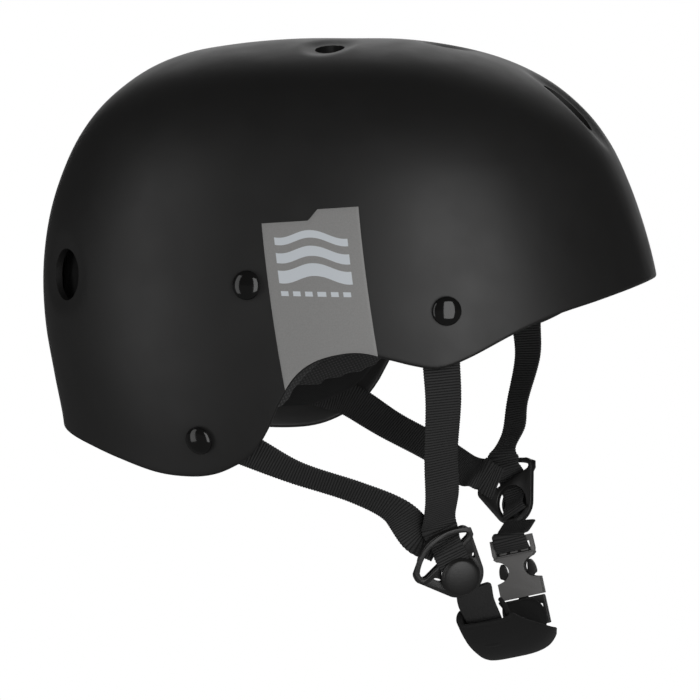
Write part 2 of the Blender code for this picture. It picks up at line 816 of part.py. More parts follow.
def make_plug(pivot):
    matrix = buckle_matrix()
    low = MOUTH + 0.5
    outline = [(1.8, 4.5), (2.0, low), (9.5, low), (9.7, low + 1), (9.7, low + 13),
               (-9.7, low + 13), (-9.7, low + 1), (-9.5, low), (-2.0, low), (-1.8, 4.5)]
    slot = rect(-8.1, 8.1, low + 3.8, low + 10.4)
    plate("buckle_plug", outline, [slot], -PRONG_HALF, PRONG_HALF, matrix, nylon(), origin=pivot)
    for side, word in ((1, "front"), (-1, "rear")):
        hinge = matrix @ Vector((side * PRONG_ROOT[0], PRONG_ROOT[1], 0))
        plate(f"plug_prong_{word}", prong_outline(side), [], -PRONG_HALF, PRONG_HALF, matrix,
              nylon(), origin=hinge)


# ---------------------------------------------------------------- chin webbing and pad

def chin_route():
    """Middle line of the chin webbing from the right divider to the plug's web slot."""
    matrix = buckle_matrix()
    start = pivot_point("right").lerp(Vector((66, -44, -211.5)), 0.08)
    end = matrix @ Vector((0, MOUTH + 7.0, -0.6))
    before = matrix @ Vector((0, MOUTH + 12.6, -4.7))
    middle = [(66, -44, -211.5), (66, -34, -218), (67, -20, -228.5), (69, -4, -236.5),
              (70.2, 12, -240.2), (71.6, 26, -240.6)]
    return [start] + [Vector(p) for p in middle] + [before, end]


def make_chin_strap(pivot):
    route = chin_route()
    across = buckle_matrix().to_3x3() @ Vector((1, 0, 0))
    first = leaving_across("right")
    stations = []
    for k, place in enumerate(route):
        f = min(k / 2, 1)
        stations.append((place, first * (1 - f) + across * f, WEB_WIDTH))
    ribbon("chin_strap", stations, 34, origin=pivot)


def pad_section(half, cover, lift):
    """Folded sheet round the webbing: lower leaf to the front, fold at the rear, upper flap.

    half is the leaf's reach to the front, cover is how far the flap comes over and lift is how
    steeply the leaf rises."""
    lip = (half - 9) * lift
    lower = [(half, lip), ((half + 9) / 2, lip * 0.3 - 0.8), (8.2, -1.2), (0, -1.5), (-8.0, -1.2)]
    fold = [(-9.6, 0.4), (-10.3, 2.9), (-9.2, 5.6)]
    upper = [(-6.5, 6.6), ((cover - 6.5) / 2, 6.8), (cover, 7.2)]
    return lower + fold + upper


def make_chin_pad(pivot):
    route = [tuple(p) for p in chin_route()]
    across = buckle_matrix().to_3x3() @ Vector((1, 0, 0))
    thickness = 2.4
    count = 12
    sections = []
    for k in range(count):
        f = k / (count - 1)
        place = 0.26 + 0.50 * f
        middle = Vector(spline(route, place))
        along = Vector(spline(route, place + 0.01)) - Vector(spline(route, place - 0.01))
        along.normalize()
        side = (across - along * across.dot(along)).normalized()
        inner = side.cross(along).normalized()
        half = 10.5 + 12.0 * math.sin(math.pi * min(0.06 + 0.8 * f, 1))
        line = [Vector(p) for p in pad_section(half, -3 + 11 * f, 0.36 + 0.26 * f * f)]
        left, right = [], []
        for n, p in enumerate(line):
            ahead = line[min(n + 1, len(line) - 1)]
            behind = line[max(n - 1, 0)]
            tangent = (ahead - behind).normalized()
            normal = Vector((-tangent.y, tangent.x)) * (thickness / 2)
            left.append(p + normal)
            right.append(p - normal)
        ring = left + right[::-1]
        sections.append([middle + side * p.x + inner * (p.y - 2.6) for p in ring])
    tube("chin_pad", sections, neoprene(), origin=pivot)


def make_left_lower_strap():
    matrix = buckle_matrix()
    first = divider_matrix("left").to_3x3() @ Vector((1, 0, 0))
    across = matrix.to_3x3() @ Vector((1, 0, 0))
    start = pivot_point("left")
    bar = matrix @ Vector((0, -9.0, -3.9))
    over = matrix @ Vector((0, -5.2, -3.6))
    end = matrix @ Vector((0, -2.5, -1.0))
    lead = start.lerp(bar, 0.5) + Vector((0, -1.2, -0.8))
    stations = [(start, first, WEB_WIDTH), (lead, first + across, WEB_WIDTH),
                (bar, across, WEB_WIDTH), (over, across, WEB_WIDTH), (end, across, WEB_WIDTH)]
    ribbon("left_lower_strap", stations, 16)


def main():
    for obj in list(bpy.data.objects):
        bpy.data.objects.remove(obj, do_unlink=True)
    make_shell()
    make_liner()
    make_pads()
    make_fasteners()
    make_decals()
    make_dividers()
    make_side_straps()
    pivot = pivot_point("right")
    make_socket()
    make_plug(pivot)
    make_chin_strap(pivot)
    make_chin_pad(pivot)
    make_left_lower_strap()


main()
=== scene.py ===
import json
import math

import bmesh
import bpy
from mathutils import Matrix, Vector
from mathutils.bvhtree import BVHTree


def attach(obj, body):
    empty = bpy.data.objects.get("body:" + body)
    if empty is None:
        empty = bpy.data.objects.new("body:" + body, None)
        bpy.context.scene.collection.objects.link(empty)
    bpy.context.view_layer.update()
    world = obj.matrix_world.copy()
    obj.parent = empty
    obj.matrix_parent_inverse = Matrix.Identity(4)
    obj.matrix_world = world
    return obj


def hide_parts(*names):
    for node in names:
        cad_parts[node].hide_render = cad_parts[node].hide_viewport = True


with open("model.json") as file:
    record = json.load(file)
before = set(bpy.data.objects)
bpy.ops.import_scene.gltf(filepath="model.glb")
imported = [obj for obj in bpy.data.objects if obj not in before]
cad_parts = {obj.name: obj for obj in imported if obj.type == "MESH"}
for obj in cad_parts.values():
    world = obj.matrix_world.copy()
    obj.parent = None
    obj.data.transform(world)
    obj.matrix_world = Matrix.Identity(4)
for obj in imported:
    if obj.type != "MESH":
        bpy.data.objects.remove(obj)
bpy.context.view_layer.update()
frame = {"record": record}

# Sizes are millimetres in the frame's axes: +X brow, +Y wearer's left, +Z up. Meshes are in metres.
MM = 0.001

# Shell form: rows run from the apex down; each row is front reach, front height, side reach,
# side height, rear reach, rear height.
PROFILE = [
    (0, 24, 0, 24, 0, 24),
    (24, 23.7, 20, 23.3, 24, 23.8),
    (48, 20.3, 40, 20.0, 48, 21.8),
    (68.5, 14.5, 58, 13.5, 68.5, 18.3),
    (87, 5.2, 73, 3.5, 87, 11),
    (102, -7.5, 86, -11, 104, -1.5),
    (112.5, -21.5, 95, -29, 116, -16),
    (120, -37, 100.5, -50, 124.5, -33),
    (126, -53, 103, -72, 130.5, -52),
    (131, -70, 103, -95, 133.5, -74),
    (134.5, -87, 100.5, -118, 133, -97),
    (137, -104, 96, -140, 129.5, -120),
    (138.5, -121, 89, -163, 126, -143),
    (139, -138, 81, -186, 126.5, -166),
]
PLAN_POWER = 2.25
# Side outline of the rim: (x, z) from nape to brim.
RIM = [
    (-150, -143), (-125, -144.5), (-102, -148), (-84, -152), (-63, -156.5), (-47, -157),
    (-36, -155.3), (-26, -151), (-18, -145.5), (-11, -136), (-5, -124), (2, -113),
    (10, -106.5), (20, -103), (30, -102), (42, -104.5), (52, -107), (61, -108),
    (72, -104), (91, -93.5), (105, -87), (120, -82), (134, -77), (150, -70),
]

SHELL_THICKNESS = 3.0
LINER_GAP = 0.8
LINER_POCKET = 8.7
LINER_INNER = 16.0
LINER_END = 0.95
PAD_BACK = 16.9
PAD_THICKNESS = 9.0
# Shares of a side pad's width: where its tongue starts, how long it eases in, its rounded corner.
TONGUE_START = 0.60
TONGUE_EASE = 0.26
TONGUE_CORNER = 0.1
TONGUE_ROUNDING = 0.6
SIDE_TONGUE = 0.085

WEB_WIDTH = 15.5
WEB_THICKNESS = 1.5
WEB_DEPTH = 4.7
RIVET_RADIUS = 6.0
SHANK_RADIUS = 2.2
HOLE_RADIUS = 2.7
WASHER_RADIUS = 6.4
WASHER_DEPTH = 6.3
WASHER_THICKNESS = 1.2

# (x, z) of the three fasteners on each side, and how far their heads stand off the shell.
RIVETS = {"front": (64.0, -84.0), "middle": (-17.0, -74.5), "rear": (-40.5, -140.0)}
HEAD_SEAT = {"front": 0.4, "middle": 0.4, "rear": 0.5}

# Vents: (x, y, half length across the slope, half length along it)
TOP_VENTS = [(-60, 0, 6, 6), (43, 0, 6, 6), (-1, -31, 6, 9), (-1, 31, 6, 9)]
FRONT_VENT_HEIGHT = -3.0
FRONT_VENT_SIZE = (7.5, 14.0)
REAR_VENT_PLACE = (-109.0, -75.0)
REAR_VENT_SIZE = (11.5, 11.0)

# Strap dividers: ring centre, direction across the webbing, direction down the webbing.
DIVIDERS = {
    "right": (Vector((62.2, -61, -196.6)), Vector((0.74, 0.20, 0.64)), Vector((0.50, 0.42, -0.76))),
    "left": (Vector((60, 61, -184.4)), Vector((0.80, -0.17, 0.56)), Vector((0.46, -0.42, -0.78))),
}
# How far each plate is turned against its webbing, in degrees.
PLATE_TURN = {"right": 6.0, "left": 0.0}
PLATE_THICKNESS = 2.6
RING_HOLE = 7.6
RING_OUTER = 10.4
REAR_CORNER = -10.6
FRONT_CORNER = 13.0
CORNER_HEIGHT = 11.4
CORNER_RADIUS = 3.8
ARCH_TOP = 20.0
LOCK_SEAT = 3.9
PIVOT_DROP = 11.7
PIVOT_DEPTH = 2.9

# Buckle frame: a point half way down the plug and the direction out of the socket's mouth.
PLUG_MIDDLE = Vector((67, 44, -217))
PLUG_LEAN = 0.25
MOUTH = 19.0
MIDDLE = 11.5
SOCKET_HALF = (9.7, 3.5)
CAVITY_HALF = (8.8, 2.5)
PRONG_HALF = 1.75
# Root of each prong in the buckle frame, where it bends.
PRONG_ROOT = (5.3, 18.6)

DISH_DEPTH = 1.8
DISH_WIDTH = 7.0
PAD_SHEET = 2.4
# Height and half width of the floor, in metres.
FLOOR = -2.6
FLOOR_REACH = 1600.0
FLOOR_GLOW = 1.0
FLOOR_LIGHT = 0.10
WORLD_GLOW = 0.04
RIGHT_POWER = 25.0
LEFT_POWER = 8.0
BACK_POWER = 13.0
CAMERA_TURN = 14.3
CAMERA_RISE = 6.0
CAMERA_LENS = 177.4
CAMERA_SENSOR = 36
CAMERA_DISTANCE = 1.5
# Points in metres that the lights and the camera are aimed at.
LIGHT_AIM = Vector((0, 0, -0.11))
CAMERA_AIM = Vector((0, 0, -0.111))


# ---------------------------------------------------------------- surface of the shell

def ease(f):
    """Smooth step, 0 up to f = 0 and 1 from f = 1."""
    f = min(max(f, 0), 1)
    return f * f * (3 - 2 * f)


def bisect(low, high, before):
    """Place between low and high where before(place) turns false."""
    for _ in range(30):
        middle = (low + high) / 2
        if before(middle):
            low = middle
        else:
            high = middle
    return (low + high) / 2


def spline(rows, place):
    """Catmull-Rom reading of evenly spaced rows at place 0..1."""
    last = len(rows) - 1
    k = min(max(place, 0.0) * last, last - 1e-9)
    i = int(k)
    f = k - i
    before = rows[i - 1] if i else [2 * p - q for p, q in zip(rows[0], rows[1])]
    after = rows[i + 2] if i + 2 <= last else [2 * p - q for p, q in zip(rows[-1], rows[-2])]
    out = []
    for a, b, c, d in zip(before, rows[i], rows[i + 1], after):
        bend = (2 * a - 5 * b + 4 * c - d) * f * f + (3 * b - 3 * c + d - a) * f ** 3
        out.append(0.5 * (2 * b + (c - a) * f + bend))
    return out


MIRRORED = [(-a, b, -c, d, -e, g) for a, b, c, d, e, g in reversed(PROFILE[1:3])] + PROFILE


def profile(t):
    """Profile row at t, with the rows mirrored over the apex so that the crown is smooth."""
    last = len(MIRRORED) - 1
    return spline(MIRRORED, (2 + t * (last - 2)) / last)


def shell_point(phi, t):
    front, front_z, side, side_z, rear, rear_z = profile(t)
    c = math.cos(phi)
    s = math.sin(phi)
    reach, end_z = (front, front_z) if c >= 0 else (rear, rear_z)
    if reach < 1e-6:
        return Vector((0, 0, end_z))
    radius = ((abs(c) / reach) ** PLAN_POWER + (abs(s) / side) ** PLAN_POWER) ** (-1 / PLAN_POWER)
    return Vector((radius * c, radius * s, side_z + (end_z - side_z) * c * c))


def shell_normal(phi, t):
    if t < 0.01:
        return Vector((0, 0, 1))
    step = 0.004
    around = shell_point(phi + step, t) - shell_point(phi - step, t)
    down = shell_point(phi, t + step) - shell_point(phi, t - step)
    return down.cross(around).normalized()


def layer_point(phi, t, offset):
    return shell_point(phi, t) + shell_normal(phi, t) * offset


def rim_height(x):
    """Height of the rim's side outline at x, by a Hermite curve through RIM."""
    i = 1
    while i < len(RIM) - 3 and RIM[i + 1][0] < x:
        i += 1
    (x0, z0), (x1, z1), (x2, z2), (x3, z3) = RIM[i - 1:i + 3]
    span = x2 - x1
    f = (x - x1) / span
    m1 = (z2 - z0) / (x2 - x0) * span
    m2 = (z3 - z1) / (x3 - x1) * span
    return ((2 * f ** 3 - 3 * f ** 2 + 1) * z1 + (f ** 3 - 2 * f ** 2 + f) * m1
            + (3 * f ** 2 - 2 * f ** 3) * z2 + (f ** 3 - f ** 2) * m2)


def rim_t(phi):
    """Profile place where the surface meets the rim at azimuth phi."""
    def above(t):
        p = shell_point(phi, t)
        return p.z > rim_height(p.x)

    return bisect(0.35, 1.0, above)


def find_place(x, z, side):
    """(phi, t) of the surface point at side view (x, z) on the side with that sign of y."""
    phi = math.atan2(side * 100, x)
    t = 0.6
    step = 1e-4
    for _ in range(12):
        p = shell_point(phi, t)
        dp = (shell_point(phi + step, t) - p) / step
        dt = (shell_point(phi, t + step) - p) / step
        det = dp.x * dt.z - dt.x * dp.z
        ex, ez = x - p.x, z - p.z
        phi += (ex * dt.z - dt.x * ez) / det
        t += (dp.x * ez - ex * dp.z) / det
    return phi, t


def side_point(x, z, side, offset):
    phi, t = find_place(x, z, side)
    return layer_point(phi, t, offset)


def axes_matrix(x, y, z, origin):
    matrix = Matrix((x, y, z)).transposed().to_4x4()
    matrix.translation = origin
    return matrix


def frame_at(origin, x_axis, up):
    """Matrix whose z is up and whose x is x_axis made square to it."""
    z = Vector(up).normalized()
    x = (Vector(x_axis) - z * z.dot(Vector(x_axis))).normalized()
    return axes_matrix(x, z.cross(x), z, Vector(origin))


def grid_faces(rows, columns, start, closed):
    """Quads of a grid whose vertices are numbered row by row from start."""
    faces = []
    for i in range(rows - 1):
        for j in range(columns if closed else columns - 1):
            k = (j + 1) % columns
            a = start + i * columns
            faces.append((a + j, a + k, a + columns + k, a + columns + j))
    return faces


def box_points(low, high, matrix):
    corners = []
    for x in (low[0], high[0]):
        for y in (low[1], high[1]):
            for z in (low[2], high[2]):
                corners.append(matrix @ Vector((x, y, z)))
    return corners


BOX_FACES = [(0, 1, 3, 2), (4, 6, 7, 5), (0, 4, 5, 1), (2, 3, 7, 6), (0, 2, 6, 4), (1, 5, 7, 3)]


def arc(centre, radius, start, end, steps):
    out = []
    for k in range(steps + 1):
        turn = math.radians(start + (end - start) * k / steps)
        out.append((centre[0] + radius * math.cos(turn), centre[1] + radius * math.sin(turn)))
    return out


def smooth_rows(rows, count):
    """Rows of numbers read evenly along a Catmull-Rom curve through the given rows."""
    return [spline(rows, k / (count - 1)) for k in range(count)]


def liner_outer(s):
    """The liner steps back from the shell low down, where webbing and washers lie behind it."""
    f = ease((s - 0.42) / 0.14)
    return -(SHELL_THICKNESS + LINER_GAP) * (1 - f) - LINER_POCKET * f


def top_place(x, y):
    """(phi, t) of the surface over plan point (x, y)."""
    phi = math.atan2(y, x)
    return phi, bisect(0.0, 0.8, lambda t: shell_point(phi, t).to_2d().length < math.hypot(x, y))


def rivet_matrix(place, side):
    phi, t = find_place(*RIVETS[place], side)
    return frame_at(shell_point(phi, t), (0, 0, 1), shell_normal(phi, t))


def front_vent_place():
    return 0.0, bisect(0.1, 0.7, lambda t: shell_point(0, t).z > FRONT_VENT_HEIGHT)


def decal_edge(across):
    """Top corner (x, z) of the decal at across 0..1 from rear to front, with its raised tab."""
    x = -11.4 + 39.7 * across
    z = -49.5 + 3.0 * across
    if across > 0.49:
        z += min((across - 0.49) / 0.09, 1) * 4.3
    return x, z


def divider_matrix(word):
    """Local x along the chord, y up towards the arch, z out of the outer face."""
    centre, chord, down = DIVIDERS[word]
    x = chord.normalized()
    y = (-down + x * x.dot(down)).normalized()
    z = x.cross(y)
    if z.y * centre.y < 0:
        z = -z
    return axes_matrix(x, y, z, centre)


def plate_matrix(word):
    return divider_matrix(word) @ Matrix.Rotation(math.radians(PLATE_TURN[word]), 4, "Z")


def shell_stations(spots, side):
    """Webbing stations against the inside of the shell, through side view spots (x, z, depth)."""
    places = [side_point(x, z, side, -depth) for x, z, depth in spots]
    stations = []
    for k, (x, z, _) in enumerate(spots):
        along = places[min(k + 1, len(spots) - 1)] - places[max(k - 1, 0)]
        across = along.cross(shell_normal(*find_place(x, z, side))) * side
        stations.append((places[k], across.normalized(), WEB_WIDTH))
    return stations


def divider_stations(word, rows):
    matrix = divider_matrix(word)
    across = matrix.to_3x3() @ Vector((1, 0, 0))
    return [(matrix @ Vector(place), across, width) for place, width in rows]


def pad_low(low, tongue, u):
    """Rim share of a pad's low edge at u; a tongue hangs past the rim near the end azimuth."""
    f = ease((u - TONGUE_START) / TONGUE_EASE)
    corner = max((u - 1 + TONGUE_CORNER) / TONGUE_CORNER, 0)
    return low + tongue * f * (1 - TONGUE_ROUNDING * corner ** 2)


FRONT_ROUTE = {
    "right": [((61, -85.5, -122), (0.85, 0.50, 0.05)), ((58.6, -79, -146), (0.75, 0.62, 0.15)),
              ((58.0, -74, -162), (0.78, 0.48, 0.35))],
    "left": [((61.5, 85.5, -121), (0.85, -0.50, 0.05)), ((58.4, 78, -141), (0.75, -0.62, 0.15)),
             ((57.8, 73, -153), (0.78, -0.48, 0.35))],
}
REAR_ROUTE = {
    "right": [((-2, -83, -153.5), (0.44, -0.60, 0.66)), ((22, -76.5, -161.8), (0.45, -0.62, 0.64)),
              ((38, -71.5, -169.8), (0.46, -0.45, 0.76))],
    "left": [((-2, 83, -154.2), (0.44, 0.60, 0.66)), ((22, 77, -164.5), (0.45, 0.62, 0.64)),
             ((37, 67.6, -171.6), (0.50, 0.38, 0.76))],
}
# Last points of each rear strap, in its divider's frame.
REAR_END = {
    "right": [(-3.0, 21.8, -7.4), (-0.6, 16.8, -6.4), (1.2, 13.0, -5.8)],
    "left": [(-4.6, 16.4, -9.6), (-2.0, 11.6, -8.6), (0.4, 8.0, -7.6)],
}


def pivot_point(word):
    return divider_matrix(word) @ Vector((0, -PIVOT_DROP, -PIVOT_DEPTH))


def buckle_matrix():
    """Local x across, y out of the socket's mouth, z out from the jaw; y is 0 at the web slot."""
    reach = PLUG_MIDDLE - pivot_point("right")
    out = Vector((PLUG_LEAN, 0, -1))
    out = (out - reach * (out.dot(reach) / reach.length_squared)).normalized()
    across = out.cross(reach).normalized()
    return axes_matrix(across, out, across.cross(out), PLUG_MIDDLE - out * MIDDLE)


def leaving_across(word):
    """Width direction of the webbing under a divider, part way to the buckle's."""
    divider = divider_matrix(word).to_3x3() @ Vector((1, 0, 0))
    buckle = buckle_matrix().to_3x3() @ Vector((1, 0, 0))
    return (divider + buckle).normalized()


def rect(low_x, high_x, low_y, high_y):
    return [(low_x, low_y), (high_x, low_y), (high_x, high_y), (low_x, high_y)]


def prong_outline(side):
    """Spring arm and hooked head, on the side with that sign."""
    shape = [(4.2, PRONG_ROOT[1]), (4.3, 10), (4.7, 7.2), (5.2, 4.2), (6.2, 3.0), (7.1, 3.4), (8.0, 5.2),
             (8.4, 7.4), (8.2, 9.2), (7.2, 9.8), (6.6, 11), (6.5, PRONG_ROOT[1])]
    return [(side * x, y) for x, y in shape]


def chin_route():
    """Middle line of the chin webbing from the right divider to the plug's web slot."""
    matrix = buckle_matrix()
    start = pivot_point("right").lerp(Vector((66, -44, -211.5)), 0.08)
    end = matrix @ Vector((0, MOUTH + 7.0, -0.6))
    before = matrix @ Vector((0, MOUTH + 12.6, -4.7))
    middle = [(66, -44, -211.5), (66, -34, -218), (67, -20, -228.5), (69, -4, -236.5),
              (70.2, 12, -240.2), (71.6, 26, -240.6)]
    return [start] + [Vector(p) for p in middle] + [before, end]


def pad_section(half, cover, lift):
    """Folded sheet round the webbing: lower leaf to the front, fold at the rear, upper flap.

    half is the leaf's reach to the front, cover is how far the flap comes over and lift is how
    steeply the leaf rises."""
    lip = (half - 9) * lift
    lower = [(half, lip), ((half + 9) / 2, lip * 0.3 - 0.8), (8.2, -1.2), (0, -1.5), (-8.0, -1.2)]
    fold = [(-9.6, 0.4), (-10.3, 2.9), (-9.2, 5.6)]
    upper = [(-6.5, 6.6), ((cover - 6.5) / 2, 6.8), (cover, 7.2)]
    return lower + fold + upper


# ---------------------------------------------------------------- pieces and finishes

BODY_OF = {n: b for b, names in frame["record"]["behaviour"]["bodies"].items() for n in names}
SLOT_OF = {part["node"]: part["material_slot"] for part in frame["record"]["subparts"]}
WORDS = ((-1, "right"), (1, "left"))


def add_piece(name, points, faces, finish, sharp=38):
    """Object from points in mm, with outward faces and creases kept above the sharp angle."""
    mesh = bpy.data.meshes.new(name)
    mesh.from_pydata([Vector(p) * MM for p in points], [], faces)
    bm = bmesh.new()
    bm.from_mesh(mesh)
    bmesh.ops.recalc_face_normals(bm, faces=bm.faces)
    bm.to_mesh(mesh)
    bm.free()
    mesh.shade_smooth()
    mesh.set_sharp_from_angle(angle=math.radians(sharp))
    mesh.materials.append(finish)
    obj = bpy.data.objects.new(name, mesh)
    bpy.context.scene.collection.objects.link(obj)
    return obj


def settle(obj, sharp=None):
    """Applies the object's modifiers to its mesh."""
    graph = bpy.context.evaluated_depsgraph_get()
    mesh = bpy.data.meshes.new_from_object(obj.evaluated_get(graph))
    obj.modifiers.clear()
    obj.data = mesh
    if sharp:
        mesh.shade_smooth()
        mesh.set_sharp_from_angle(angle=math.radians(sharp))
    return obj


def stand_for(obj, *nodes):
    """The piece replaces CAD nodes and rides on their body."""
    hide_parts(*nodes)
    SLOT_OF[nodes[0]]
    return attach(obj, BODY_OF[nodes[0]])


def go_with(obj, node):
    """A detail with no CAD node of its own rides with that node."""
    SLOT_OF[node]
    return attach(obj, BODY_OF[node])


def finer(obj):
    """Applies the modifiers and one subdivision, shaded smooth."""
    change = obj.modifiers.new("finer", "SUBSURF")
    change.levels = change.render_levels = 1
    settle(obj)
    obj.data.shade_smooth()


def bevelled(obj, width, segments=3, angle=32):
    change = obj.modifiers.new("edges", "BEVEL")
    change.width = width * MM
    change.segments = segments
    change.limit_method = "ANGLE"
    change.angle_limit = math.radians(angle)
    change.use_clamp_overlap = True
    return settle(obj, 50)


def cut(obj, cutter):
    """Boolean difference, applied, with the cutter removed."""
    change = obj.modifiers.new("cut", "BOOLEAN")
    change.operation = "DIFFERENCE"
    change.solver = "EXACT"
    change.object = cutter
    settle(obj)
    bpy.data.objects.remove(cutter, do_unlink=True)
    return obj


class Graph:
    """Short calls for building a material's node tree."""

    def __init__(self, name):
        self.material = bpy.data.materials.new(name)
        self.material.use_nodes = True
        self.tree = self.material.node_tree
        self.shader = self.tree.nodes["Principled BSDF"]
        self.place = self.node("ShaderNodeTexCoord").outputs["Object"]

    def node(self, kind, **settings):
        new = self.tree.nodes.new(kind)
        for key, value in settings.items():
            setattr(new, key, value)
        return new

    def link(self, source, socket):
        self.tree.links.new(source, socket)

    def math(self, operation, a, b=None, c=None):
        new = self.node("ShaderNodeMath", operation=operation)
        for socket, value in zip(new.inputs, (a, b, c)):
            if value is None:
                continue
            if isinstance(value, (int, float)):
                socket.default_value = value
            else:
                self.link(value, socket)
        return new.outputs[0]

    def noise(self, scale, detail=2.0, roughness=0.5, vector=None):
        new = self.node("ShaderNodeTexNoise")
        new.inputs["Scale"].default_value = scale
        new.inputs["Detail"].default_value = detail
        new.inputs["Roughness"].default_value = roughness
        self.link(vector or self.place, new.inputs["Vector"])
        return new.outputs["Fac"]

    def waves(self, scale, direction="X", turn=(0, 0, 0)):
        mapping = self.node("ShaderNodeMapping")
        mapping.inputs["Rotation"].default_value = turn
        self.link(self.place, mapping.inputs["Vector"])
        new = self.node("ShaderNodeTexWave", bands_direction=direction)
        new.inputs["Scale"].default_value = scale
        self.link(mapping.outputs[0], new.inputs["Vector"])
        return new.outputs["Fac"]

    def remap(self, value, low, high, from_low=0.3, from_high=0.7):
        new = self.node("ShaderNodeMapRange")
        new.inputs["From Min"].default_value = from_low
        new.inputs["From Max"].default_value = from_high
        new.inputs["To Min"].default_value = low
        new.inputs["To Max"].default_value = high
        self.link(value, new.inputs["Value"])
        return new.outputs[0]

    def mix(self, factor, a, b):
        new = self.node("ShaderNodeMix", data_type="RGBA")
        self.link(factor, new.inputs[0])
        for socket, value in ((new.inputs[6], a), (new.inputs[7], b)):
            if isinstance(value, tuple):
                socket.default_value = (*value, 1)
            else:
                self.link(value, socket)
        return new.outputs[2]

    def color(self, source):
        self.link(source, self.shader.inputs["Base Color"])

    def rough(self, source):
        self.link(source, self.shader.inputs["Roughness"])

    def bump(self, *layers):
        """Layers of (height source, depth in mm), stacked."""
        normal = None
        for height, depth in layers:
            new = self.node("ShaderNodeBump")
            new.inputs["Strength"].default_value = 1.0
            new.inputs["Distance"].default_value = depth * MM
            self.link(height, new.inputs["Height"])
            if normal:
                self.link(normal, new.inputs["Normal"])
            normal = new.outputs[0]
        self.link(normal, self.shader.inputs["Normal"])

    def set(self, **values):
        for key, value in values.items():
            self.shader.inputs[key.replace("_", " ")].default_value = value


def grey(value, warm=0.0):
    return (value * (1 + warm), value, value * (1 - warm))


def plastic(name, low, high, rough, grain, depth, specular=0.5):
    """Moulded plastic: tone and gloss drift slowly, with a fine moulded grain."""
    g = Graph(name)
    drift = g.noise(22, 3)
    g.color(g.mix(g.remap(drift, 0, 1), grey(low, 0.02), grey(high, 0.02)))
    g.rough(g.remap(g.noise(65, 4), rough - 0.03, rough + 0.04))
    g.bump((g.noise(grain, 2), depth), (g.noise(140, 1), depth * 0.8))
    g.set(Specular_IOR_Level=specular)
    return g.material


def fabric(name, low, high, pattern, depth, fuzz_scale=2600, sheen=0.25, rough=0.85):
    """Cloth: yarn pattern from crossed waves, loose fibre noise and a little sheen."""
    g = Graph(name)
    a = g.waves(pattern, "DIAGONAL")
    b = g.waves(pattern, "DIAGONAL", (0.4, 1.2, 1.57))
    weave = g.math("MULTIPLY", a, b)
    fibre = g.noise(fuzz_scale, 3, 0.65)
    tone = g.math("ADD", g.math("MULTIPLY", weave, 0.45), g.math("MULTIPLY", fibre, 0.7))
    g.color(g.mix(g.remap(tone, 0, 1, 0.2, 0.8), grey(low), grey(high)))
    g.rough(g.remap(g.noise(90, 2), rough - 0.05, rough + 0.05))
    g.bump((weave, depth), (fibre, depth * 0.7))
    g.set(Sheen_Weight=sheen, Sheen_Roughness=0.5, Specular_IOR_Level=0.25)
    return g.material


def webbing():
    """Woven polyester with fine warp yarns; the rib crests are painted lighter and the grooves between them
    darker, as painted highlight and painted shade.
    """
    g = Graph("strap_webbing")
    # The rib rise paints the crests light and the grooves dark: painted highlight and painted shade.
    rib_rise_and_shade = g.node("ShaderNodeAttribute", attribute_name="rib_rise_and_shade").outputs["Fac"]
    fibre = g.noise(2600, 3, 0.65)
    yarn = g.waves(640, "DIAGONAL")
    tone = g.math("ADD", g.math("MULTIPLY", rib_rise_and_shade, 0.75), g.math("MULTIPLY", fibre, 0.35))
    g.color(g.mix(g.remap(tone, 0, 1, 0.15, 0.95), grey(0.0035), grey(0.040)))
    g.rough(g.remap(g.noise(90, 2), 0.66, 0.76))
    g.bump((yarn, 0.05), (fibre, 0.035))
    g.set(Sheen_Weight=0.04, Sheen_Roughness=0.5, Specular_IOR_Level=0.22)
    return g.material


SHELL = plastic("shell_matte", 0.0125, 0.0145, 0.47, 900, 0.012)
DIVIDER = plastic("divider_nylon", 0.012, 0.016, 0.40, 1500, 0.03)
# Buckle socket: the same nylon as the dividers and plug, its colour raised about ten times as painted light
# where it faces the lamps.
BUCKLE_PAINTED_LIT = plastic("buckle_nylon_painted_lit", 0.125, 0.165, 0.52, 1700, 0.09)
RIVET = plastic("rivet_gloss", 0.006, 0.008, 0.10, 500, 0.002)
WASHER = plastic("washer_nylon", 0.012, 0.018, 0.45, 1500, 0.03)
FOAM = fabric("liner_felt", 0.004, 0.008, 60, 0.02, 1500, 0.03)
KNIT = fabric("pad_knit", 0.018, 0.085, 300, 0.12, 3000, 0.08)
MESH = fabric("pad_mesh", 0.024, 0.046, 420, 0.06, 3000, 0.04)
BINDING = fabric("liner_binding", 0.010, 0.022, 520, 0.05, 2600, 0.06)
NEOPRENE = fabric("chin_neoprene", 0.008, 0.016, 700, 0.035, 1900, 0.05)
# Walls and floors of the mesh panels' holes: near black, as painted shade in the hollows.
HOLE_SHADE = fabric("pad_mesh_hollows_painted_shade", 0.001, 0.003, 420, 0.05, 3000, 0.0)
LOOPS = fabric("hook_and_loop", 0.005, 0.024, 160, 0.3, 1300, 0.05)


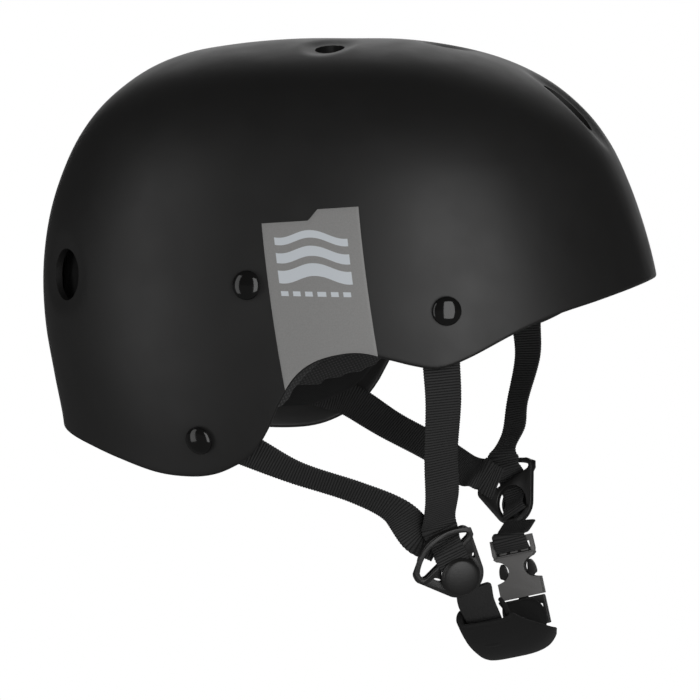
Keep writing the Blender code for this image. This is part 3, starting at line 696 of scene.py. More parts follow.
def decal_finish():
    """Grey film with a generic printed pattern of three waves over a row of bars."""
    g = Graph("decal_film")
    print_place = g.node("ShaderNodeUVMap", uv_map="print").outputs[0]
    split = g.node("ShaderNodeSeparateXYZ")
    g.link(print_place, split.inputs[0])
    u, v = split.outputs[0], split.outputs[1]
    inside = g.math("MULTIPLY", g.math("GREATER_THAN", u, 0.12), g.math("LESS_THAN", u, 0.86))
    mask = None
    for middle, half in ((0.17, 0.020), (0.26, 0.027), (0.36, 0.034)):
        sway = g.math("MULTIPLY", g.math("SINE", g.math("MULTIPLY", u, 9.5)), 0.022)
        line = g.math("ABSOLUTE", g.math("SUBTRACT", g.math("SUBTRACT", v, middle), sway))
        band = g.math("MULTIPLY", g.math("LESS_THAN", line, half), inside)
        mask = band if mask is None else g.math("MAXIMUM", mask, band)
    dash = g.math("LESS_THAN", g.math("FRACT", g.math("MULTIPLY", u, 8.0)), 0.62)
    row = g.math("LESS_THAN", g.math("ABSOLUTE", g.math("SUBTRACT", v, 0.47)), 0.013)
    dashes = g.math("MULTIPLY", g.math("MULTIPLY", dash, row), inside)
    mask = g.math("MAXIMUM", mask, dashes)
    speck = g.remap(g.noise(1800, 2), 0, 1)
    film = g.mix(speck, (0.270, 0.268, 0.264), (0.300, 0.297, 0.292))
    g.color(g.mix(mask, film, (0.66, 0.70, 0.74)))
    g.rough(g.remap(g.noise(70, 3), 0.50, 0.58))
    g.bump((g.noise(1000, 2), 0.01))
    g.set(Specular_IOR_Level=0.4)
    return g.material


DECAL = decal_finish()
WEB = webbing()


# ---------------------------------------------------------------- shell and liner

RIM_RADIUS = SHELL_THICKNESS / 2


def vent_list():
    """(matrix, half along, half across) of every vent, x of the matrix down the slope."""
    out = []
    for x, y, half_x, half_y in TOP_VENTS:
        along, across = (half_y, half_x) if y else (half_x, half_y)
        out.append((*top_place(x, y), across, along))
    across, along = FRONT_VENT_SIZE
    out.append((*front_vent_place(), across, along))
    for side in (-1, 1):
        out.append((*find_place(*REAR_VENT_PLACE, side), *REAR_VENT_SIZE))
    vents = []
    for phi, t, across, along in out:
        middle = shell_point(phi, t)
        down = shell_point(phi, t + 0.01) - middle
        vents.append((frame_at(middle, down, shell_normal(phi, t)), along, across))
    return vents


VENTS = vent_list()
VENT_INVERSES = [(m.inverted(), m.translation.copy(), a, b) for m, a, b in VENTS]


def dish(point):
    """Depth of the soft hollow pressed in round the vents."""
    depth = 0.0
    for inverse, middle, along, across in VENT_INVERSES:
        if (point - middle).length > 30:
            continue
        q = inverse @ point
        r = math.hypot(q.x / along, q.y / across)
        depth = max(depth, DISH_DEPTH * ease(1 - (r - 1) * min(along, across) / DISH_WIDTH))
    return depth


def skin_grid(columns, rows, end, offset, dished=False):
    """Rows of points of an offset of the shell, without the apex."""
    out = []
    ends = [RIM_T[2 * math.pi * j / columns] for j in range(columns)]
    for i in range(1, rows + 1):
        s = end(i / rows)
        ring = []
        for j in range(columns):
            phi = 2 * math.pi * j / columns
            t = s * ends[j]
            p = shell_point(phi, t)
            n = shell_normal(phi, t)
            ring.append(p + n * (offset(s) - (dish(p) if dished else 0)))
        out.append(ring)
    return out


class RimTable(dict):
    def __missing__(self, phi):
        self[phi] = rim_t(phi)
        return self[phi]


RIM_T = RimTable()


def closed_dome(name, outer, edge, inner, poles, finish):
    """Solid from an outer and an inner stack of rings joined by edge rings."""
    rings = outer + edge + inner[::-1]
    columns = len(rings[0])
    points = [poles[0], poles[1]] + [p for ring in rings for p in ring]
    faces = grid_faces(len(rings), columns, 2, True)
    last = 2 + (len(rings) - 1) * columns
    for j in range(columns):
        k = (j + 1) % columns
        faces.append((0, 2 + j, 2 + k))
        faces.append((1, last + j, last + k))
    return add_piece(name, points, faces, finish, 60)


def rim_frame(phi, back):
    """Point, normal and down direction back mm short of the rim at azimuth phi."""
    t = RIM_T[phi]
    p = shell_point(phi, t)
    down = (p - shell_point(phi, t - 0.01))
    t -= 0.01 * back / down.length
    p = shell_point(phi, t)
    return p, shell_normal(phi, t), down.normalized()


def prism_cutter(rings):
    points, faces = [], []
    for sections in rings:
        start = len(points)
        count = len(sections[0])
        points += sections[0] + sections[1]
        faces += grid_faces(2, count, start, True)
        faces.append(tuple(range(start, start + count)))
        faces.append(tuple(range(start + count, start + 2 * count)))
    return add_piece("cutter", points, faces, SHELL)


def vent_rings(vents, extra, top, bottom):
    return [[[m @ Vector((x * (a + extra), y * (b + extra), h)) for x, y in arc((0, 0), 1, 0, 352.5, 47)]
             for h in (top, bottom)] for m, a, b in vents]


def build_shell():
    columns, rows = 240, 80
    outer = skin_grid(columns, rows, lambda f: f ** 0.85, lambda s: 0, True)
    inner = skin_grid(columns, 48, lambda f: f, lambda s: -SHELL_THICKNESS, True)
    turn = [2 * math.pi * j / columns for j in range(columns)]
    frames = [rim_frame(phi, RIM_RADIUS) for phi in turn]
    edge = []
    for a in range(0, 181, 20):
        c, s = math.cos(math.radians(a)), math.sin(math.radians(a))
        edge.append([p + n * RIM_RADIUS * (c - 1) + d * RIM_RADIUS * s for p, n, d in frames])
    outer[-1:] = []
    inner[-1:] = []
    poles = (layer_point(0, 0, 0), layer_point(0, 0, -SHELL_THICKNESS))
    shell = closed_dome("shell_moulding", outer, edge, inner, poles, SHELL)
    rings = vent_rings(VENTS, 0, 6, -9)
    for side, word in WORDS:
        for place in RIVETS:
            m = rivet_matrix(place, side)
            rings.append([[m @ Vector((x, y, h)) for x, y in arc((0, 0), HOLE_RADIUS, 0, 345, 23)]
                          for h in (6, -6)])
    stand_for(settle(cut(shell, prism_cutter(rings)), 40), "outer_shell")


def build_liner():
    columns, rows = 144, 36
    end = lambda f: f * LINER_END
    outer = skin_grid(columns, rows, end, liner_outer)
    inner = skin_grid(columns, rows, end, lambda s: -LINER_INNER)
    edge = []
    for k in range(1, 6):
        turn = math.pi * k / 6
        mid = (liner_outer(1) - LINER_INNER) / 2
        half = (liner_outer(1) + LINER_INNER) / 2
        ring = []
        for j in range(columns):
            phi = 2 * math.pi * j / columns
            t = LINER_END * RIM_T[phi]
            down = (shell_point(phi, t + 0.01) - shell_point(phi, t)).normalized()
            ring.append(layer_point(phi, t, mid + half * math.cos(turn)) + down * 2.2 * math.sin(turn))
        edge.append(ring)
    poles = (layer_point(0, 0, liner_outer(0)), layer_point(0, 0, -LINER_INNER))
    liner = closed_dome("liner_foam", outer, edge, inner, poles, FOAM)
    stand_for(settle(cut(liner, prism_cutter(vent_rings(VENTS[:5], 1.0, 6, -24))), 45), "foam_liner")
    build_binding()


def build_binding():
    """Soft cloth tape sewn round the liner's edge, with a seam ridge on its inner side."""
    columns = 240
    section = [(0.845, -16.3), (0.86, -16.9), (0.885, -17.5), (0.91, -17.7), (0.935, -17.4), (0.953, -16.6),
               (0.966, -15.0), (0.972, -12.8), (0.968, -10.4), (0.955, -8.6), (0.945, -8.6), (0.945, -16.1)]
    rings = []
    for s, offset in section:
        ring = []
        for j in range(columns):
            phi = 2 * math.pi * j / columns
            t = s * RIM_T[phi]
            pucker = 0.12 * math.sin(phi * 150) if 0.85 < s < 0.9 else 0
            ring.append(layer_point(phi, t, offset + pucker))
        rings.append(ring)
    points = [p for ring in rings for p in ring]
    faces = grid_faces(len(rings), columns, 0, True)
    last = (len(rings) - 1) * columns
    for j in range(columns):
        k = (j + 1) % columns
        faces.append((j, k, last + k, last + j))
    tape = go_with(add_piece("liner_edge_tape", points, faces, BINDING, 60), "foam_liner")


# ---------------------------------------------------------------- pads

# Start and end azimuth in degrees, top and low edge as shares of the way to the rim, tongue.
PADS = {
    "brow_pad": (-36, 36, 0.60, 0.93, 0),
    "nape_pad": (149, 211, 0.58, 0.93, 0),
    "temple_pad_right": (290, 318, 0.60, 0.92, 0),
    "temple_pad_left": (70, 42, 0.60, 0.92, 0),
    "side_pad_right": (218, 280, 0.58, 0.965, SIDE_TONGUE),
    "side_pad_left": (142, 80, 0.58, 0.965, SIDE_TONGUE),
}
PAD_SHRINK = 1.3
SWELL_LIMIT = 2.2
SWELL_PRESSURE = 4
SWELL_FRAMES = 20
VOXEL = 3.2
# Stretches of each pad, across and down, that its mesh panel covers.
PANELS = {
    "side_pad_right": ((0.12, 0.90), (0.12, 0.86)),
    "temple_pad_right": ((0.16, 0.86), (0.12, 0.86)),
    "side_pad_left": ((0.12, 0.90), (0.12, 0.86)),
    "temple_pad_left": ((0.16, 0.86), (0.12, 0.86)),
    "brow_pad": ((0.08, 0.92), (0.15, 0.85)),
    "nape_pad": ((0.08, 0.92), (0.15, 0.85)),
}
PANEL_RISE = 1.1
PANEL_FLOOR = 0.3
PANEL_THICKNESS = 0.4
# Holes: pitch across, pitch down against it, row step against the pitch down, and the half
# width and half height at the mouth and at the floor as shares of the pitches.
HOLE_PITCH = 3.6
HOLE_STRETCH = 1.25
ROW_STEP = 0.75
HOLE_MOUTH = (0.27, 0.34)
HOLE_FLOOR = (0.22, 0.28)


def pad_point(spec, u, v, rise):
    start, end, high, low, tongue = spec
    phi = math.radians(start + (end - start) * u)
    t = (high + (pad_low(low, tongue, u) - high) * v) * rim_t(phi)
    return layer_point(phi, t, -PAD_BACK - rise)


def pad_rise(u, v):
    crown = (1 - abs(2 * u - 1) ** 5) * (1 - abs(2 * v - 1) ** 4)
    return PAD_THICKNESS * (0.45 + 0.55 * crown)


def pad_start(name, spec):
    """Closed pad a little smaller than its finished size, before it swells."""
    columns, rows = 21, 17
    wide = (pad_point(spec, 0, 0.5, 0) - pad_point(spec, 1, 0.5, 0)).length
    tall = (pad_point(spec, 0.5, 0, 0) - pad_point(spec, 0.5, 1, 0)).length
    du, dv = PAD_SHRINK / wide, PAD_SHRINK / tall
    front, back = [], []
    for i in range(rows):
        v = dv + (1 - 2 * dv) * i / (rows - 1)
        front_row, back_row = [], []
        for j in range(columns):
            u = du + (1 - 2 * du) * j / (columns - 1)
            front_row.append(pad_point(spec, u, v, pad_rise(u, v) - PAD_SHRINK))
            back_row.append(pad_point(spec, u, v, PAD_SHRINK * 0.5))
        front.append(front_row)
        back.append(back_row)
    points, faces = slab_mesh(front, back)
    return add_piece(f"{name}_cushion", points, faces, KNIT, 180)


def slab_mesh(front, back):
    """Points and faces of a closed solid between two open grids."""
    rows, columns = len(front), len(front[0])
    points = [p for row in front for p in row] + [p for row in back for p in row]
    size = rows * columns
    faces = grid_faces(rows, columns, 0, False) + grid_faces(rows, columns, size, False)
    edge = list(range(columns)) + [i * columns + columns - 1 for i in range(1, rows)]
    edge += [(rows - 1) * columns + j for j in range(columns - 2, -1, -1)]
    edge += [i * columns for i in range(rows - 2, 0, -1)]
    faces += [(a, b, b + size, a + size) for a, b in zip(edge, edge[1:] + edge[:1])]
    return points, faces


def swell(objects):
    """Cloth pressure fills the pads; no point moves further than SWELL_LIMIT."""
    for obj in objects:
        remesh = obj.modifiers.new("even", "REMESH")
        remesh.mode = "VOXEL"
        remesh.voxel_size = VOXEL * MM
        settle(obj)
    scene = bpy.context.scene
    for obj in objects:
        cloth = obj.modifiers.new("fill", "CLOTH")
        cloth.settings.use_pressure = True
        cloth.settings.uniform_pressure_force = SWELL_PRESSURE
        cloth.settings.effector_weights.gravity = 0
        cloth.settings.quality = 5
        cloth.point_cache.frame_start = 1
        cloth.point_cache.frame_end = SWELL_FRAMES
    rest = [[v.co.copy() for v in obj.data.vertices] for obj in objects]
    for number in range(1, SWELL_FRAMES + 1):
        scene.frame_set(number)
    graph = bpy.context.evaluated_depsgraph_get()
    for obj, start in zip(objects, rest):
        moved = [v.co.copy() for v in obj.evaluated_get(graph).data.vertices]
        obj.modifiers.clear()
        for vertex, a, b in zip(obj.data.vertices, start, moved):
            step = b - a
            if step.length > SWELL_LIMIT * MM:
                step *= SWELL_LIMIT * MM / step.length
            vertex.co = a + step
    scene.frame_set(1)
    for obj in objects:
        soften = obj.modifiers.new("soften", "SMOOTH")
        soften.factor = 0.5
        soften.iterations = 6
        finer(obj)


def honeycomb(node, u_range, v_range, cushion):
    """Spacer-mesh panel with real oval holes, laid on the swollen cushion."""
    spec = PADS[node]
    tree = BVHTree.FromObject(cushion, bpy.context.evaluated_depsgraph_get())
    wide = (pad_point(spec, u_range[0], 0.5, 0) - pad_point(spec, u_range[1], 0.5, 0)).length
    tall = (pad_point(spec, 0.5, v_range[0], 0) - pad_point(spec, 0.5, v_range[1], 0)).length
    across, down = HOLE_PITCH, HOLE_PITCH * HOLE_STRETCH
    points, faces, known, sunk = [], [], {}, set()

    def vertex(x, y):
        key = (round(x, 2), round(y, 2))
        if key not in known:
            known[key] = len(points)
            points.append(key)
        return known[key]

    for i in range(int(tall / (down * ROW_STEP))):
        for j in range(int(wide / across)):
            cx = (j + 0.5 + 0.5 * (i % 2)) * across
            cy = (i + 0.5) * down * ROW_STEP
            outer, inner, floor = [], [], []
            for k in range(12):
                turn = math.radians(30 * k)
                swing = math.cos(((turn + math.pi / 6) % (math.pi / 3)) - math.pi / 6)
                reach = 0.5 / swing
                outer.append(vertex(cx + reach * across * math.cos(turn),
                                    cy + reach * down * 0.866 * math.sin(turn)))
                for ring, (half_x, half_y) in ((inner, HOLE_MOUTH), (floor, HOLE_FLOOR)):
                    ring.append(vertex(cx + half_x * across * math.cos(turn),
                                       cy + half_y * down * math.sin(turn)))
            sunk.update(floor)
            for k in range(12):
                n = (k + 1) % 12
                faces.append((outer[k], outer[n], inner[n], inner[k]))
                faces.append((inner[k], inner[n], floor[n], floor[k]))
            faces.append(tuple(floor))
    laid = []
    for number, (x, y) in enumerate(points):
        u = u_range[0] + (u_range[1] - u_range[0]) * x / wide
        v = v_range[0] + (v_range[1] - v_range[0]) * y / tall
        low, high = pad_point(spec, u, v, 0), pad_point(spec, u, v, 30)
        ray = (low - high).normalized()
        hit = tree.ray_cast(high * MM, ray)[0]
        lift = PANEL_FLOOR if number in sunk else PANEL_RISE
        laid.append((hit / MM if hit else low) - ray * lift)
    panel = add_piece(f"{node}_mesh_panel", laid, faces, MESH, 180)
    # The hole walls and floors take the near-black finish: painted shade in the hollows.
    panel.data.materials.append(HOLE_SHADE)
    for face in panel.data.polygons:
        if sum(v in sunk for v in face.vertices) > 1:
            face.material_index = 1
    thick = panel.modifiers.new("thick", "SOLIDIFY")
    thick.thickness = PANEL_THICKNESS * MM
    thick.offset = 0
    return go_with(settle(panel, 60), node)


def build_pads():
    cushions = {name: pad_start(name, spec) for name, spec in PADS.items()}
    outline = [(0, 0.4), (16, 0.4), (18.6, 1.2), (19.4, 2.6), (18.4, 4.0), (12, 5.8), (0, 6.7)]
    crown = add_piece("crown_pad_cushion", *turned_mesh(outline, 40, Matrix.Identity(4)), KNIT, 180)
    swell(list(cushions.values()) + [crown])
    for name, cushion in cushions.items():
        stand_for(cushion, name)
    stand_for(crown, "crown_pad")
    for node, (u_range, v_range) in PANELS.items():
        honeycomb(node, u_range, v_range, cushions[node])


# ---------------------------------------------------------------- turned, plate and box pieces

def turned_mesh(outline, segments, matrix):
    """Points and faces of a solid turned about local z."""
    points, rings, faces = [], [], []
    for radius, height in outline:
        count = segments if radius else 1
        rings.append(list(range(len(points), len(points) + count)))
        for k in range(count):
            turn = 2 * math.pi * k / segments
            points.append(matrix @ Vector((radius * math.cos(turn), radius * math.sin(turn), height)))
    pairs = list(zip(rings, rings[1:]))
    if len(rings[0]) > 1:
        pairs.append((rings[-1], rings[0]))
    for upper, lower in pairs:
        for k in range(segments):
            n = (k + 1) % segments
            if len(upper) == 1:
                faces.append((upper[0], lower[k], lower[n]))
            elif len(lower) == 1:
                faces.append((upper[k], lower[0], upper[n]))
            else:
                faces.append((upper[k], lower[k], lower[n], upper[n]))
    return points, faces


def plate_piece(name, outline, holes, low, high, matrix, finish):
    """Flat plate between local heights low and high, with holes."""
    bm = bmesh.new()
    edges = []
    for loop in [outline] + holes:
        verts = [bm.verts.new((x, y, low)) for x, y in loop]
        edges += [bm.edges.new((a, b)) for a, b in zip(verts, verts[1:] + verts[:1])]
    bmesh.ops.triangle_fill(bm, edges=edges, use_beauty=True, normal=(0, 0, 1))
    bmesh.ops.dissolve_limit(bm, angle_limit=0.01, verts=bm.verts, edges=bm.edges)
    made = bmesh.ops.extrude_face_region(bm, geom=bm.faces[:])
    lifted = [v for v in made["geom"] if isinstance(v, bmesh.types.BMVert)]
    bmesh.ops.translate(bm, verts=lifted, vec=(0, 0, high - low))
    bm.verts.index_update()
    points = [matrix @ v.co for v in bm.verts]
    faces = [tuple(v.index for v in f.verts) for f in bm.faces]
    bm.free()
    return add_piece(name, points, faces, finish)


def inset(outline, amount):
    """Closed outline moved inwards by amount, or outwards if amount is negative."""
    area = sum(a[0] * b[1] - b[0] * a[1] for a, b in zip(outline, outline[1:] + outline[:1]))
    sign = 1 if area > 0 else -1
    out = []
    for before, here, after in zip(outline[-1:] + outline[:-1], outline, outline[1:] + outline[:1]):
        a = Vector((here[0] - before[0], here[1] - before[1])).normalized()
        b = Vector((after[0] - here[0], after[1] - here[1])).normalized()
        normal = Vector((-a.y - b.y, a.x + b.x)) * sign
        normal.normalize()
        stretch = 1 / max(normal.dot(Vector((-a.y, a.x)) * sign), 0.5)
        out.append((here[0] + normal.x * amount * stretch, here[1] + normal.y * amount * stretch))
    return out


def box_piece(name, low, high, matrix, finish):
    return add_piece(name, box_points(low, high, matrix), BOX_FACES, finish)


def build_fasteners():
    dome = [(RIVET_RADIUS * math.sin(math.radians(a)), 0.55 + 2.45 * math.cos(math.radians(a)))
            for a in range(0, 91, 9)]
    dome[0] = (0, 3.0)
    head = dome + [(5.95, 0.25), (5.75, 0.03), (5.5, 0), (SHANK_RADIUS, 0)]
    near = -WASHER_DEPTH
    far = near - WASHER_THICKNESS
    ring = [(HOLE_RADIUS, near), (WASHER_RADIUS - 0.3, near), (WASHER_RADIUS, near - 0.3),
            (WASHER_RADIUS, far + 0.3), (WASHER_RADIUS - 0.3, far), (HOLE_RADIUS, far)]
    tail = [(SHANK_RADIUS, far - 0.1), (SHANK_RADIUS - 0.3, far - 0.3), (0, far - 0.3)]
    for side, word in WORDS:
        for place in RIVETS:
            m = rivet_matrix(place, side)
            rivet = [(r, h + HEAD_SEAT[place]) for r, h in head] + tail
            node = f"rivet_{place}_{word}"
            stand_for(add_piece(f"{node}_snap", *turned_mesh(rivet, 56, m), RIVET, 40), node)
            node = f"washer_{place}_{word}"
            stand_for(add_piece(f"{node}_ring", *turned_mesh(ring, 48, m), WASHER, 30), node)


def build_decals():
    columns, rows = 61, 49
    for side, word in WORDS:
        front, back, heights = [], [], []
        for i in range(rows):
            front_row, back_row = [], []
            for j in range(columns):
                x0, z0 = decal_edge(j / (columns - 1))
                z1 = z0
                for _ in range(12):
                    z1 = rim_height(x0 + 0.145 * (z0 - z1)) + 0.8
                z = z0 + (z1 - z0) * i / (rows - 1)
                phi, t = find_place(x0 + 0.145 * (z0 - z), z, side)
                rounding = 0.25 if 0 < i < rows - 1 and 0 < j < columns - 1 else 0
                front_row.append(layer_point(phi, t, 0.30 + rounding))
                back_row.append(layer_point(phi, t, 0.12))
                heights.append(z)
            front.append(front_row)
            back.append(back_row)
        points, faces = slab_mesh(front, back)
        film = add_piece(f"side_decal_{word}_film", points, faces, DECAL, 60)
        uv = film.data.uv_layers.new(name="print")
        size = rows * columns
        tall = max(heights) - min(heights)
        for loop in film.data.loops:
            place = loop.vertex_index % size
            across = place % columns / (columns - 1)
            down = (max(heights) - heights[place]) / tall
            uv.data[loop.index].uv = (across if side < 0 else 1 - across, down)
        stand_for(film, f"side_decal_{word}")


# ---------------------------------------------------------------- dividers and their locks

def fine_divider_outline():
    middle = (REAR_CORNER + FRONT_CORNER) / 2
    half_chord = (FRONT_CORNER - REAR_CORNER) / 2
    rise = ARCH_TOP - CORNER_HEIGHT - CORNER_RADIUS * 0.8
    radius = (half_chord ** 2 + rise ** 2) / (2 * rise)
    half = math.degrees(math.asin(half_chord / radius))
    outline = arc((0, 0), RING_OUTER, 205, 335, 26)
    outline += arc((FRONT_CORNER, CORNER_HEIGHT), CORNER_RADIUS, -25, 90 - half * 0.8, 10)
    outline += arc((middle, ARCH_TOP - radius), radius, 90 - half * 0.78, 90 + half * 0.78, 24)
    outline += arc((REAR_CORNER, CORNER_HEIGHT), CORNER_RADIUS, 90 + half * 0.8, 205, 10)
    return outline


def fine_slot_outline():
    upper = arc((1.2, -1.4), 18.7, 42, 130, 22)
    return upper + [(-11.75, 10.9), (-11.5, 10.2), (-10.9, 9.8), (-10.2, 9.7),
                    (13.4, 9.7), (14.1, 9.8), (14.7, 10.2), (14.9, 10.7)]


def build_dividers():
    half = PLATE_THICKNESS / 2
    for side, word in WORDS:
        m = plate_matrix(word)
        slot = fine_slot_outline()
        ring = arc((0, 0), RING_HOLE, 0, 352.5, 47)
        holes = [ring, slot]
        if word == "right":
            holes += [oval((-7.9, 5.0), 0.75, 1.9, 20), oval((10.0, 1.6), 0.55, 1.2, -35)]
        body = plate_piece(f"divider_{word}_plate", fine_divider_outline(), holes, -half, half, m, DIVIDER)
        stand_for(bevelled(body, 0.5), f"strap_divider_{word}")
        collar = plate_piece(f"divider_{word}_collar", inset(slot, -2.35), [inset(slot, -0.25)],
                             half - 0.2, half + 0.55, m, DIVIDER)
        go_with(bevelled(collar, 0.3), f"strap_divider_{word}")
        seat = m @ Matrix.Translation((0, 0, LOCK_SEAT))
        outline = [(0, 2.5), (1.8, 2.47), (3.6, 2.36), (5.2, 2.18), (6.4, 1.96), (7.1, 1.76), (7.5, 1.52),
                   (7.75, 1.15), (7.9, 0.7), (8.1, 0.45), (8.25, 0.25), (8.25, -0.2), (7.9, -0.6),
                   (7.2, -0.8), (6.9, -0.6), (6.8, 0.1), (0, 0.1)]
        cap = add_piece(f"divider_lock_{word}_cap", *turned_mesh(outline, 72, seat), DIVIDER, 60)
        stand_for(cap, f"divider_lock_{word}")


def oval(middle, half_x, half_y, degrees):
    turn = math.radians(degrees)
    out = []
    for k in range(20):
        a = 2 * math.pi * k / 20
        x, y = half_x * math.cos(a), half_y * math.sin(a)
        out.append((middle[0] + x * math.cos(turn) - y * math.sin(turn),
                    middle[1] + x * math.sin(turn) + y * math.cos(turn)))
    return out


# ---------------------------------------------------------------- webbing

RIB = 1.15
RIB_SAMPLES = 5
EDGE = [-1, -0.99, -0.965, -0.92, -0.84, -0.6, -0.3, 0, 0.3, 0.6, 0.84, 0.92, 0.965, 0.99, 1]


def even_path(stations, step):
    """Rows read at even distances along the smooth line through the stations."""
    rows = [tuple(p) + tuple(Vector(w).normalized()) + (width,) for p, w, width in stations]
    dense = smooth_rows(rows, 1400)
    reach = [0.0]
    for a, b in zip(dense, dense[1:]):
        reach.append(reach[-1] + (Vector(a[:3]) - Vector(b[:3])).length)
    count = int(reach[-1] / step)
    out, k = [], 0
    for n in range(count + 1):
        want = reach[-1] * n / count
        while k < len(reach) - 2 and reach[k + 1] < want:
            k += 1
        f = (want - reach[k]) / max(reach[k + 1] - reach[k], 1e-9)
        out.append([a + (b - a) * f for a, b in zip(dense[k], dense[k + 1])])
    return out


def ribbed_web(name, stations):
    """Flat webbing with a raised rib at each weft pick and rounded, notched selvedges."""
    path = even_path(stations, RIB / RIB_SAMPLES)
    sections, rib_rises_and_shade = [], []
    last = len(path) - 1
    for k, row in enumerate(path):
        along = (Vector(path[min(k + 2, last)][:3]) - Vector(path[max(k - 2, 0)][:3])).normalized()
        middle = Vector(row[:3])
        across = Vector(row[3:6])
        across = (across - along * across.dot(along)).normalized()
        out = along.cross(across).normalized()
        rib_rise_and_shade = abs(math.sin(math.pi * k / RIB_SAMPLES))
        rib_rises_and_shade.append(rib_rise_and_shade ** 0.6)
        half_thick = WEB_THICKNESS / 2 * (0.58 + 0.42 * rib_rises_and_shade[-1])
        half_wide = row[6] / 2 - 0.22 * (1 - rib_rise_and_shade)
        upper = [middle + across * half_wide * e + out * half_thick * (1 - abs(e) ** 14) ** 0.5 for e in EDGE]
        lower = [middle + across * half_wide * e - out * half_thick * (1 - abs(e) ** 14) ** 0.5
                 for e in EDGE[-2:0:-1]]
        sections.append(upper + lower)
    count = len(sections[0])
    points = [p for section in sections for p in section]
    faces = grid_faces(len(sections), count, 0, True)
    faces.append(tuple(range(count)))
    faces.append(tuple(range(len(points) - count, len(points))))
    web = add_piece(name, points, faces, WEB, 75)
    # The rib rise is stored so that the webbing finish paints the crests lighter and the grooves darker, as
    # painted highlight and painted shade.
    mark = web.data.attributes.new("rib_rise_and_shade", "FLOAT", "POINT")
    mark.data.foreach_set("value", [rib_rise_and_shade for rib_rise_and_shade in rib_rises_and_shade for _ in range(count)])
    return web


def build_webbing():
    for side, word in WORDS:
        stations = shell_stations([(64.6, -75, WEB_DEPTH), (64, -84, WEB_DEPTH), (63.2, -94, WEB_DEPTH),
                                   (62.4, -105, WEB_DEPTH + 1)], side)
        stations += [(p, w, WEB_WIDTH) for p, w in FRONT_ROUTE[word]]
        stations += divider_stations(word, [
            ((7.4, 21.8, -3.7), WEB_WIDTH), ((5.4, 17.6, -3.1), 15.0), ((4.4, 14.6, -2.2), 13.8),
            ((3.7, 13.2, 0.2), 13.6), ((3.0, 11.4, 2.45), 13.6), ((2.0, 7.6, 2.65), 13.6),
            ((0.9, 3.2, 2.5), 12.0), ((0.3, 0.4, 1.4), 10.8), ((0, -2.2, -1.2), 10.8),
            ((0, -4.3, -2.6), 12.0), ((0, -6.6, -2.9), 13.4)])
        stand_for(ribbed_web(f"front_webbing_{word}", stations), f"front_strap_{word}")
        stations = shell_stations([(-51, -137.6, WEB_DEPTH), (-43, -139.5, WEB_DEPTH),
                                   (-33, -142.2, WEB_DEPTH), (-22, -145.8, WEB_DEPTH + 1)], side)
        stations += [(p, w, WEB_WIDTH) for p, w in REAR_ROUTE[word]]
        stations += divider_stations(word, [(place, WEB_WIDTH) for place in REAR_END[word]])
        stand_for(ribbed_web(f"rear_webbing_{word}", stations), f"rear_strap_{word}")
    matrix = buckle_matrix()
    across = matrix.to_3x3() @ Vector((1, 0, 0))
    start = pivot_point("left")
    bar = matrix @ Vector((0, -9.0, -3.9))
    lead = start.lerp(bar, 0.5) + Vector((0, -1.2, -0.8))
    places = [start + (start - lead).normalized() * 2.0, start, lead, bar,
              matrix @ Vector((0, -5.2, -3.6)), matrix @ Vector((0, -2.5, -1.0))]
    stations = [(place, across, WEB_WIDTH) for place in places]
    stand_for(ribbed_web("left_lower_webbing", stations), "left_lower_strap")
    first = leaving_across("right")
    route = [Vector(place) for place in chin_route()]
    stations = [(route[0] + (route[0] - route[1]).normalized() * 3.0, first, WEB_WIDTH - 2.5)]
    for k, place in enumerate(route):
        f = min(k / 2, 1)
        stations.append((place, first * (1 - f) + across * f, WEB_WIDTH))
    stand_for(ribbed_web("chin_webbing", stations), "chin_strap")


# ---------------------------------------------------------------- buckle and chin pad

def build_buckle():
    matrix = buckle_matrix()
    half_x, half_z = SOCKET_HALF
    slot = rect(-8.1, 8.1, -5.2, -0.7)
    # The socket and its grip bars take the lightened nylon: painted light.
    socket = plate_piece("buckle_socket_body", fine_socket_outline(), [slot], -half_z, half_z, matrix, BUCKLE_PAINTED_LIT)
    wide, tall = CAVITY_HALF
    cut(socket, box_piece("cutter", (-wide, 1.6, -tall), (wide, MOUTH + 4, tall), matrix, BUCKLE_PAINTED_LIT))
    for low, high in ((-half_z - 1, -1.9), (1.9, half_z + 1)):
        cut(socket, box_piece("cutter", (-half_x - 1, -9, low), (half_x + 1, 0, high), matrix, BUCKLE_PAINTED_LIT))
    stand_for(bevelled(socket, 0.45, 3, 40), "buckle_socket")
    for k, x in enumerate((-5.0, 0.0, 5.0)):
        bar = box_piece(f"buckle_grip_bar_{k}", (x - 1.7, -1.9, -0.5), (x + 1.7, -1.0, 0.5), matrix, BUCKLE_PAINTED_LIT)
        go_with(bevelled(bar, 0.25), "buckle_socket")
    ledge = box_piece("buckle_web_ledge", (-8.0, -2.5, 0.4), (8.0, -0.6, 1.6), matrix, DIVIDER)
    go_with(bevelled(ledge, 0.2), "buckle_socket")
    low = MOUTH + 0.5
    outline = [(1.8, 4.5), (2.0, low), (9.5, low), (9.7, low + 1), (9.7, low + 13), (-9.7, low + 13),
               (-9.7, low + 1), (-9.5, low), (-2.0, low), (-1.8, 4.5)]
    hole = rect(-8.1, 8.1, low + 3.8, low + 10.4)
    plug = plate_piece("buckle_plug_body", outline, [hole], -PRONG_HALF, PRONG_HALF, matrix, DIVIDER)
    stand_for(bevelled(plug, 0.4), "buckle_plug")
    for side, word in ((1, "front"), (-1, "rear")):
        outline = smooth_closed(prong_outline(side), 4)
        prong = plate_piece(f"prong_{word}_arm", outline, [], -PRONG_HALF, PRONG_HALF, matrix, DIVIDER)
        stand_for(bevelled(prong, 0.3), f"plug_prong_{word}")


def smooth_closed(outline, steps):
    """Catmull-Rom outline through closed corner points; the two at the root stay sharp."""
    out = []
    last = len(outline) - 1
    for k in range(last):
        rows = [outline[max(k - 1, 0)], outline[k], outline[k + 1], outline[min(k + 2, last)]]
        for n in range(steps):
            out.append(tuple(spline(rows, (1 + n / steps) / 3)))
    return out + [outline[-1]]


